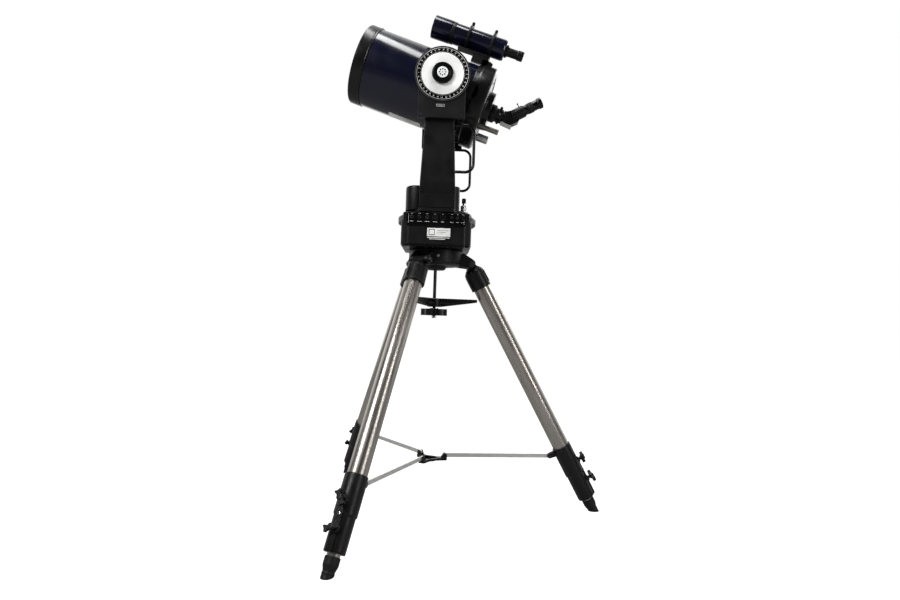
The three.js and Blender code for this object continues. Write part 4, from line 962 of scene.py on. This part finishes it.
def fork_arm(name, side):
    """Tapered arm that steps inward to its foot."""
    low, high = local_box(f"fork_arm_{name}")
    z0 = low.z
    face = [(-51, z0), (51, z0), (51, z0 + 42), (42, z0 + 239)] + arc(DEC_X, DEC_Z, 59.8, -40, 220, 30)
    face += [(-42, z0 + 239), (-51, z0 + 42)]
    foot_in, foot_out = side * (ARM_IN - FOOT_INSET), side * (ARM_OUT - FOOT_INSET)
    section = [
        (foot_in, z0 - 5), (foot_out, z0 - 5), (foot_out, z0 + 37), (side * ARM_OUT, z0 + 67),
        (side * ARM_OUT, high.z + 20), (side * ARM_IN, high.z + 20), (side * ARM_IN, z0 + 75),
        (foot_in, z0 + 45),
    ]
    hole = moved(cylinder(TRUNNION_BORE, -400, 400, "y", 48, 0), x=DEC_X, z=DEC_Z)
    arm = carve(
        prism(face, -200, 200, "xz"),
        ("common", prism(section, -150, 150, "yz")),
        hole,
    )
    put(f"arm_casting_{name}", arm, STAND, "fork", BLACK, [f"fork_arm_{name}"], 2.6)


def cover_outline(inset):
    low, high = local_box("dec_cover_near")
    radius = (high.x - low.x) / 2
    points = [(low.x + inset, low.z + inset), (high.x - inset, low.z + inset)]
    return points + arc(DEC_X, DEC_Z, radius - inset, 0, 180, 32)


def dec_cover(name, side):
    """Cast cover with soft edges, corner screws and, on the near cover, a small framed window."""
    low, high = local_box(f"dec_cover_{name}")
    inner, outer = (low.y, high.y) if side > 0 else (high.y, low.y)
    room = sorted((inner - side * 2, outer - side * 3))
    body = carve(
        prism(cover_outline(0.0), *sorted((inner, outer)), "xz"),
        prism(cover_outline(3.0), *room, "xz"),
        moved(cylinder(TRUNNION_BORE, -400, 400, "y", 48, 0), x=DEC_X, z=DEC_Z),
    )
    put(f"cover_shell_{name}", body, STAND, "fork", SATIN, [f"dec_cover_{name}"], 3.0)
    screws = []
    for x in (low.x + 9, high.x - 9):
        screw = moved(dome(2.8, 0, 1.4, "y"), turn=about("z", 180 if side < 0 else 0))
        screws.append(moved(screw, x, outer - side * 0.9, low.z + 9))
    put(f"cover_screws_{name}", screws, STAND, "fork", ROD)
    if side > 0:
        return
    frame_out = rounded_box_outline(-10, 13, low.z + 31, low.z + 38, 1)
    frame_in = rounded_box_outline(-9, 12, low.z + 32, low.z + 37, 0.6)
    window = carve(prism(frame_out, outer - 0.35, outer + 0.2, "xz"),
        prism(frame_in, outer - 3, outer + 3, "xz"))
    mark = box((-6, 9), (outer - 0.3, outer + 0.2), (low.z + 34, low.z + 35))
    put("cover_window", [window, mark], STAND, "fork", PALE_MARK)


def arm_half_width(height):
    share = (height - 42) / (239 - 42)
    return 51 + (42 - 51) * share


def carry_handle(name):
    """Bent steel rod whose two ends meet the arm."""
    low, high = local_box(f"handle_{name}")
    y = (low.y + high.y) / 2
    radius = 4.25
    z0, z1 = low.z + radius, high.z - radius
    x_out = high.x - radius
    corner = 24
    start_low = arm_half_width(101.7) + 0.5
    start_high = arm_half_width(235.7) + 0.5
    path = [(start_low, y, z0), ((start_low + x_out - corner) / 2, y, z0)]
    path += [(x, y, z) for x, z in arc(x_out - corner, z0 + corner, corner, -90, 0, 10)]
    path += [(x, y, z) for x, z in arc(x_out - corner, z1 - corner, corner, 0, 90, 10)]
    path += [((start_high + x_out - corner) / 2, y, z1), (start_high, y, z1)]
    rod = swept(path, radius, 24)
    put(f"handle_rod_{name}", rod, STAND, "fork", GLOSS, [f"handle_{name}"])


def azimuth_controls():
    knob_low, knob_high = local_box("azimuth_knob")
    x, y = (knob_low.x + knob_high.x) / 2, (knob_low.y + knob_high.y) / 2
    z = knob_low.z
    barrel = turned([(0, z), (9.4, z), (9.4, z + 20), (8.2, z + 22), (0, z + 22)], facets=72,
        flutes=24, flute_depth=0.5)
    neck = cylinder(4, z + 22, z + 30, facets=32)
    put("slow_motion_barrel", moved(merged([barrel, neck]), x, y), STAND, "azimuth_knob", CHROME,
        ["azimuth_knob"])
    cap = turned([(0, z + 29), (6.2, z + 29), (6.4, z + 31), (6.4, z + 42), (5, z + 44), (0, z + 44)],
        facets=72,
                 flutes=24, flute_depth=0.6)
    put("slow_motion_cap", moved(cap, x, y), STAND, "azimuth_knob", PLASTIC)
    low, high = local_box("azimuth_lock")
    cx = (low.x + high.x) / 2
    base_y = low.y + 9
    hub = turned([(0, low.z), (8.8, low.z), (8.8, high.z - 2), (7, high.z), (0, high.z)], facets=48)
    lever = prism([(-3, 0), (3, 0), (2.6, 28), (1.5, 33), (-1.5, 33), (-2.6, 28)], low.z + 4, low.z + 9)
    put("lock_lever", moved(merged([hub, lever]), cx, base_y), STAND, "azimuth_lock", CHROME,
        ["azimuth_lock"], 0.8)


# ------------------------------------------------------------------ optical tube
RIM = -259.5


def optical_tube():
    tube = turned([(115.5, -233.2), (115.5, 100.7), (113.5, 100.7), (113.5, -233.2)], "x", 160, 0.3)
    put("tube_barrel", tube, TUBE, "optical_tube", NAVY, ["optical_tube"])
    lining = turned([(113.4, -232), (113.4, 99), (112.8, 99), (112.8, -232)], "x", 96, 0)
    put("tube_lining", lining, TUBE, "optical_tube", RUBBER)


def front_cell():
    """Turned cell with a rounded lip, a groove near the rear edge and radial screws."""
    cell = turned([
        (102.2, RIM + 0.6), (104, RIM), (115.5, RIM), (117.8, RIM + 3), (117.9, RIM + 30),
        (117.0, RIM + 31.5),
        (117.8, RIM + 33), (117.8, RIM + 36), (115.9, RIM + 36), (115.9, RIM + 26.2), (107, RIM + 26.2),
        (107, RIM + 8.7), (102.2, RIM + 8.7),
    ], "x", 160, 0.8)
    put("front_cell_ring", cell, TUBE, "optical_tube", CELL, ["front_cell"])
    screws = []
    for k in range(8):
        screw = dome(2.6, 117.4, 1.5, "z")
        screws.append(moved(moved(screw, x=RIM + 32), turn=about("x", 22.5 + 45 * k)))
    put("front_cell_screws", screws, TUBE, "optical_tube", ROD)
    retainer = hollow(100.5, 105, RIM + 7.2, RIM + 8.6, "x", 128, 0.3)
    put("corrector_retainer", retainer, TUBE, "optical_tube", CELL)


def corrector():
    plate = hollow(26.2, 106.4, RIM + 9.2, RIM + 13.8, "x", 128, 0.3)
    put("corrector_glass", plate, TUBE, "optical_tube", GLASS, ["corrector_plate"])
    holder = turned([
        (0, RIM + 1.9), (34, RIM + 1.9), (37.8, RIM + 4), (37.8, RIM + 8.6), (25.4, RIM + 8.6),
        (25.4, RIM + 14.4),
        (35.8, RIM + 14.4), (35.8, RIM + 34), (33, RIM + 36), (0, RIM + 36),
    ], "x", 96, 0.8)
    put("secondary_housing", holder, TUBE, "optical_tube", PLASTIC,
        ["secondary_holder"])
    screws = []
    for k in range(3):
        screw = cylinder(2.6, RIM + 0.9, RIM + 2.4, "x", 24, 0.3)
        screws.append(moved(moved(screw, z=14), turn=about("x", 120 * k)))
    put("collimation_screws", screws, TUBE, "optical_tube", ROD)


def rear_cell():
    """Cast cell with a ribbed flange, a hub, and two cheeks that carry the trunnions."""
    body = turned([
        (115.9, 85.3), (119.0, 85.3), (119.5, 87), (119.5, 98.5), (122.5, 99.5), (124, 102),
        (124, 135), (122, 138),
        (115, 142), (98, 142), (96, 139.5), (66, 139.5), (64, 142), (60, 142), (58.5, 146),
        (57, 160.5), (30, 161),
        (24, 161), (24, 134.2), (110, 134.2), (110, 101), (115.9, 101),
    ], "x", 160, 1.2)
    flats = box((0, 170), (-121.2, 121.2), (-200, 200))
    cheek_outline = rounded_box_outline(-26, 111, -26, 26, 22, 8)
    cheeks = [prism(cheek_outline, *sorted((side * 116.6, side * 121.2)), "xz") for side in (-1, 1)]
    near_shaft = cylinder(11.9, -166.6, -116.8, "y", 48, 0.4)
    far_shaft = cylinder(11.9, 116.8, 162, "y", 48, 0.4)
    shafts = [moved(shaft, -BODY_SHIFT) for shaft in (near_shaft, far_shaft)]
    body = carve(body, ("common", flats))
    put("rear_cell_casting", [body, *cheeks, *shafts], TUBE, "optical_tube", CELL,
        ["rear_cell"], 0.9)
    screws = []
    for k in range(6):
        screw = dome(3.4, 139.4, 2.4, "x")
        screws.append(moved(moved(screw, z=82), turn=about("x", 30 + 60 * k)))
    put("rear_cell_screws", screws, TUBE, "optical_tube", ROD)


def tube_internals():
    baffle = turned([(20.5, -60), (23.4, -60), (23.4, 128), (40, 128.6), (40, 133.4), (20.5, 133.4)],
        "x", 64, 0.5)
    put("baffle_pipe", baffle, TUBE, "optical_tube", RUBBER, ["baffle_tube"])
    steps = 10
    front = []
    for k in range(steps + 1):
        r = 24.6 + (101.4 - 24.6) * k / steps
        front.append((r, 95 - 5 * (r / 101.4) ** 2))
    mirror = turned(front + [(101.4, 112), (24.6, 112)], "x", 128, 0)
    put("primary_mirror_glass", mirror, TUBE, "primary_mirror", MIRROR,
        ["primary_mirror"])


def dial():
    """Graduated declination circle: rim, black ring with white marks and figures, white centre disc."""
    low, high = local_box("dec_circle")
    back, front = high.y, low.y
    rim = turned([(60, back), (77.6, back), (77.6, front + 0.3), (75.4, front + 0.3),
        (75.4, front + 1.2), (60, front + 1.2)],
                 "y", 160, 0.4)
    ring_place = Matrix.Translation((DEC_X, 0, DEC_Z))
    put("dial_rim", rim, STAND @ ring_place, "optical_tube", CIRCLE_GREY, ["dec_circle"])
    black = hollow(59.6, 75.2, front + 1.6, front + 0.7, "y", 160, 0.15)
    put("dial_ring", black, STAND @ ring_place, "optical_tube", GLOSS)
    disc = hollow(12.5, 59.4, back - 0.4, front + 0.35, "y", 128, 0.4)
    put("dial_disc", disc, STAND @ ring_place, "optical_tube", WHITE)
    marks = []
    ticks = 144
    for k in range(ticks):
        length = 3.4 if k % 4 == 0 else 1.8
        tick = box((60.6, 60.6 + length), (front + 0.45, front + 0.75), (-0.22, 0.22))
        marks.append(moved(tick, turn=about("y", 360 * k / ticks)))
    for k in range(36):
        value = abs(90 - (10 * k) % 180)
        marks.append(moved(moved(figure(str(value), 4.6, front + 0.45), z=67.6),
            turn=about("y", 10 * k)))
    hair = hollow(72.2, 72.9, front + 0.75, front + 0.45, "y", 160, 0)
    marks.append(hair)
    put("dial_marks", marks, STAND @ ring_place, "optical_tube", WHITE)


def figure(text, height, y):
    """A flat number, facing -Y, centred on the local origin."""
    curve = bpy.data.curves.new("figure", "FONT")
    curve.body = text
    curve.size = height
    curve.extrude = 0.12
    curve.align_x = "CENTER"
    curve.align_y = "CENTER"
    item = bpy.data.objects.new("figure", curve)
    bpy.context.scene.collection.objects.link(item)
    graph = bpy.context.evaluated_depsgraph_get()
    mesh = bpy.data.meshes.new_from_object(item.evaluated_get(graph))
    bpy.data.objects.remove(item)
    mesh.transform(about("x", 90))
    mesh.transform(Matrix.Translation((0, y + 0.12, 0)))
    return mesh


def dec_knob():
    """Black hand knob with a fluted rim, and a white cap with a ring of dots."""
    low, high = local_box("dec_lock_knob")
    back, front = high.y, low.y
    place = STAND @ Matrix.Translation((DEC_X, 0, DEC_Z))
    knob = turned([(0, back), (29, back), (30.8, back - 2), (30.8, front + 5), (28.6, front + 1.4),
        (24, front + 0.4),
                   (20, front + 1.6), (16.6, front + 1.6), (0, front + 1.6)], "y", 144, 0.9, 36, 0.7)
    put("dec_hand_knob", knob, place, "dec_lock_knob", GLOSS, ["dec_lock_knob"])
    cap = turned([(0, front + 1.5), (15.4, front + 1.5), (15.4, front + 0.7), (0, front + 0.4)], "y",
        64, 0.3)
    put("dec_knob_cap", cap, place, "dec_lock_knob", WHITE)
    dots = []
    for k in range(8):
        dot = turned([(0, front + 0.6), (2.3, front + 0.6), (2.3, front + 0.08), (0, front + 0.04)],
            "y", 20, 0.05)
        dots.append(moved(moved(dot, z=8.6), turn=about("y", 45 * k)))
    dots.append(turned([(0, front + 0.6), (1.7, front + 0.6), (1.7, front + 0.08), (0, front + 0.04)],
        "y", 20, 0.05))
    put("dec_knob_dots", dots, place, "dec_lock_knob", PLASTIC)


def tube_sticker():
    """Blank pale sticker wrapped round the tube's lower near side."""
    def build(bm):
        rows = []
        radius = 115.75
        for i in range(13):
            angle = math.radians(-170 - 26 * i / 12)
            row = []
            for s in (-128, -27):
                row.append(bm.verts.new((s, radius * math.sin(angle), radius * math.cos(angle))))
            rows.append(row)
        for a, b in zip(rows, rows[1:]):
            bm.faces.new([a[0], a[1], b[1], b[0]])
        faces = bmesh.ops.extrude_face_region(bm, geom=bm.faces[:])
        for vert in [g for g in faces["geom"] if isinstance(g, bmesh.types.BMVert)]:
            vert.co = Vector((vert.co.x, vert.co.y * 0.9982, vert.co.z * 0.9982))

    put("tube_sticker", mesh_of(build), TUBE, "optical_tube", LABEL)


# ------------------------------------------------------------------ finder
FINDER_Y = -30.0
FINDER_N = 179.5


def finder_frame():
    """Tilted against the tube about the point midway between the two rings."""
    to_pivot = Matrix.Translation((58, FINDER_Y, FINDER_N))
    return TUBE @ to_pivot @ about("y", -1.5) @ Matrix.Translation((-58, 0, 0))


def finder():
    place = finder_frame()
    barrel = turned([
        (28.5, -22), (31, -22), (31, 133), (28, 139), (15.5, 139.6), (15.5, 120), (28.5, 120),
    ], "x", 96, 0.8)
    cell = turned([(28.6, -60), (28.6, -89), (30, -90), (32.6, -90), (33.5, -88.5), (33.5, -34),
        (33, -33), (28.6, -33)],
                  "x", 96, 0.6)
    put("finder_barrel", [barrel, cell], place, "optical_tube", NAVY, ["finder_tube"])
    band = hollow(28.6, 32.2, -33, -21.5, "x", 96, 0.6, 48, 0.4)
    eye = turned([
        (9, 128), (14.4, 138), (14.4, 148), (13.2, 150), (13.2, 176), (14.6, 178), (14.8, 190),
        (14.0, 196), (10, 196.2),
        (9, 194),
    ], "x", 64, 0.6)
    ring = hollow(13.6, 18.5, 139.2, 146, "x", 96, 0.6, 40, 0.5)
    put("finder_black_parts", [band, eye, ring], place, "optical_tube", PLASTIC)
    lens = turned([(0, -66), (12, -65.6), (28.4, -63.6), (28.4, -58), (0, -58)], "x", 64, 0)
    put("finder_objective", lens, place, "optical_tube", GLASS)
    eye_lens = turned([(0, 186), (8.9, 186), (8.9, 190), (5, 191), (0, 191.4)], "x", 48, 0)
    put("finder_eye_lens", eye_lens, place, "optical_tube", GLASS)


def finder_bracket():
    """Two rings on a cast shelf, a stalk down to the rear cell, and knurled screws."""
    inner, outer = 33.6, 37.4
    rings = []
    for s in (22, 95):
        rings.append(hollow(inner, outer, s - 4, s + 4, "x", 96, 0.6))
        for angle in (0, 120, 240):
            boss = turned([(0, outer - 1), (5.6, outer - 1), (5, outer + 3.4), (0, outer + 3.4)], "z",
                32, 0.5)
            rings.append(moved(moved(boss, x=s), turn=about("x", angle)))
    shelf = prism([(0, -12), (8, -14), (102.6, -14), (102.6, 14), (8, 14), (0, 12)], -outer - 3.4,
        -outer + 0.6)
    put("finder_rings", [*rings, shelf], finder_frame(), "optical_tube", BLACK,
        ["finder_bracket"], 0.7)
    top = FINDER_N - outer - 2.4
    stalk = prism([(52, 90), (102.6, 90), (102.6, top), (52, top)], FINDER_Y - 12, FINDER_Y + 12, "xz")
    foot = prism([(85.4, 90), (118.6, 90), (118.6, 126), (110, 129.6), (85.4, 129.6)], FINDER_Y - 12,
        FINDER_Y + 12, "xz")
    front_cell_room = cylinder(119.9, -50, 99, "x", 128, 0)
    flange_room = cylinder(124.4, 98.7, 300, "x", 128, 0)
    parts = [carve(part, front_cell_room.copy(), flange_room.copy()) for part in (stalk, foot)]
    put("finder_stalk", parts, TUBE, "optical_tube", BLACK, (), 0.9)
    screws = []
    for s in (22, 95):
        for angle in (0, 120, 240):
            shaft = cylinder(2.5, 31.5, 42, "z", 24, 0.2)
            head = turned([(0, 40.6), (2.6, 40.6), (2.6, 43), (4.8, 43.6), (4.8, 50), (3.6, 51.6),
                (0, 51.8)],
                          "z", 60, 0.4, 20, 0.6)
            screw = merged([head, shaft]) if angle == 0 else shaft
            screws.append(moved(moved(screw, x=s), turn=about("x", angle)))
    put("finder_screws", screws, finder_frame(), "optical_tube", PLASTIC)


# ------------------------------------------------------------------ rear fittings
def visual_back():
    tube = turned([
        (16.4, 161.4), (26.8, 161.4), (26.8, 175), (25, 177), (21, 179.6), (21, 198), (20, 199.8),
        (16.4, 199.8),
    ], "x", 96, 0.7)
    knurl = hollow(25.5, 27.0, 163.5, 174, "x", 144, 0.4, 48, 0.6)
    put("visual_back_body", [tube, knurl], TUBE, "optical_tube", BLACK, ["visual_back"])
    screws = []
    for angle in (-60, 60, 150):
        screw = turned([(0, 20.6), (2, 20.6), (2, 26), (4.4, 26.4), (4.4, 33), (3.4, 34.4), (0, 34.6)],
                       "z", 60, 0.4, 18, 0.6)
        screws.append(moved(moved(screw, x=190), turn=about("x", angle)))
    put("visual_back_screws", screws, TUBE, "optical_tube", PLASTIC)
    dot = moved(dome(3.4, 0, 2.4, "y"), 190, -20.6, 0, about("z", 180))
    put("visual_back_bolt", dot, TUBE, "optical_tube", CHROME)


BEND = 47.0
CENTRE = (225.0, 9.0)


def along_bend(mesh):
    return moved(mesh, CENTRE[0], 0, CENTRE[1], about("y", -BEND))


def diagonal():
    """Prism housing with a metal cover plate underneath, nosepiece and eyepiece holder."""
    s, n = CENTRE
    nose = hollow(13, 15.8, 172, 206, "x", 72, 0.4)
    collar = cylinder(18.4, 200.5, 207, "x", 72, 0.6)
    housing = prism(rounded([
        (201, -16), (s + 7, n - 28), (s + 27, n - 8), (s + 21, n + 15), (s + 4, n + 21), (206, 16),
        (201, 16),
    ], 3, 3), -16, 16, "xz")
    holder = along_bend(carve(
        turned([(0, 0), (17.4, 0), (18.2, 3), (18.2, 42), (17.4, 44.6), (0, 44.6)], "x", 96, 0.6),
        cylinder(15.9, 18, 60, "x", 72, 0),
    ))
    put("diagonal_body", [nose, collar, housing, holder], TUBE, "star_diagonal", PLASTIC,
        ["star_diagonal"], 0.7)
    edge_start = Vector((203, -18.5))
    edge_end = Vector((s + 8, n - 29.5))
    along = (edge_end - edge_start).normalized()
    out = Vector((along.y, -along.x))
    if out.y > 0:
        out = -out
    base = [edge_start - along * 3, edge_end + along * 3]
    plate = prism([tuple(base[0]), tuple(base[1]), tuple(base[1] + out * 2.4),
        tuple(base[0] + out * 2.4)], -16.6, 16.6, "xz")
    put("diagonal_plate", plate, TUBE, "star_diagonal", STRUT, (), 0.5)
    pin = along_bend(moved(turned([(0, 17.6), (1.3, 17.6), (1.3, 26), (2.2, 26.4), (2.2, 30),
        (0, 30.4)], "z", 28, 0.2), x=36))
    put("diagonal_set_screw", pin, TUBE, "star_diagonal", ROD)


def eyepiece():
    body = along_bend(turned([
        (12, 20), (15.4, 20), (15.4, 45.2), (15.4, 47), (14.8, 48), (14.8, 54), (15.6, 55), (15.6, 74),
        (14.6, 76),
        (14.6, 90), (16.2, 93), (16.9, 98), (16.9, 102.6), (15.4, 103.6), (10.5, 101.5), (9, 94),
        (9, 30), (12, 26),
    ], "x", 96, 0.6))
    put("eyepiece_barrel", body, TUBE, "eyepiece", GLOSS, ["eyepiece"])
    band = along_bend(hollow(15.4, 16.2, 57, 72, "x", 144, 0.2, 48, 0.4))
    put("eyepiece_grip", band, TUBE, "eyepiece", RUBBER)
    lens = along_bend(turned([(0, 90), (8.9, 90), (8.9, 93), (5, 94.4), (0, 94.8)], "x", 48, 0))
    put("eyepiece_lens", lens, TUBE, "eyepiece", GLASS)


def rear_knobs():
    focus = turned([(0, 142.4), (8, 142.4), (8, 148), (12.3, 149), (12.3, 182), (10.6, 184.2),
        (0, 184.2)], "x", 96, 0.6,
                   32, 0.4)
    put("focus_grip", moved(focus, 0, -20, -90), TUBE, "focus_knob", CHROME,
        ["focus_knob"])
    lock = turned([(0, 142.4), (7.8, 142.4), (7.8, 204), (6.6, 206.2), (0, 206.2)], "x", 72, 0.6)
    put("lock_cylinder", moved(lock, 0, -45, -64), TUBE, "mirror_lock_knob", BRONZE,
        ["mirror_lock_knob"])


# ------------------------------------------------------------------ the whole object
camera()
studio()
for leg in LEGS:
    leg_casting(leg)
    leg_tube(leg)
    leg_collar(leg)
    leg_extension(leg)
    rubber_foot(leg)
    for knob_place in KNOB_PLACES:
        lock_knob(leg, knob_place)
    strut(leg)
strut_hub()
spreader()
tension_rod()
tension_knob()
tripod_head()
drive_base()
power_panel()
base_label()
azimuth_circle()
azimuth_drive()
fork_base()
for arm_name, arm_side in (("near", -1), ("far", 1)):
    fork_arm(arm_name, arm_side)
    dec_cover(arm_name, arm_side)
    carry_handle(arm_name)
azimuth_controls()
optical_tube()
front_cell()
corrector()
rear_cell()
tube_internals()
dial()
dec_knob()
tube_sticker()
finder()
finder_bracket()
visual_back()
diagonal()
eyepiece()
rear_knobs()
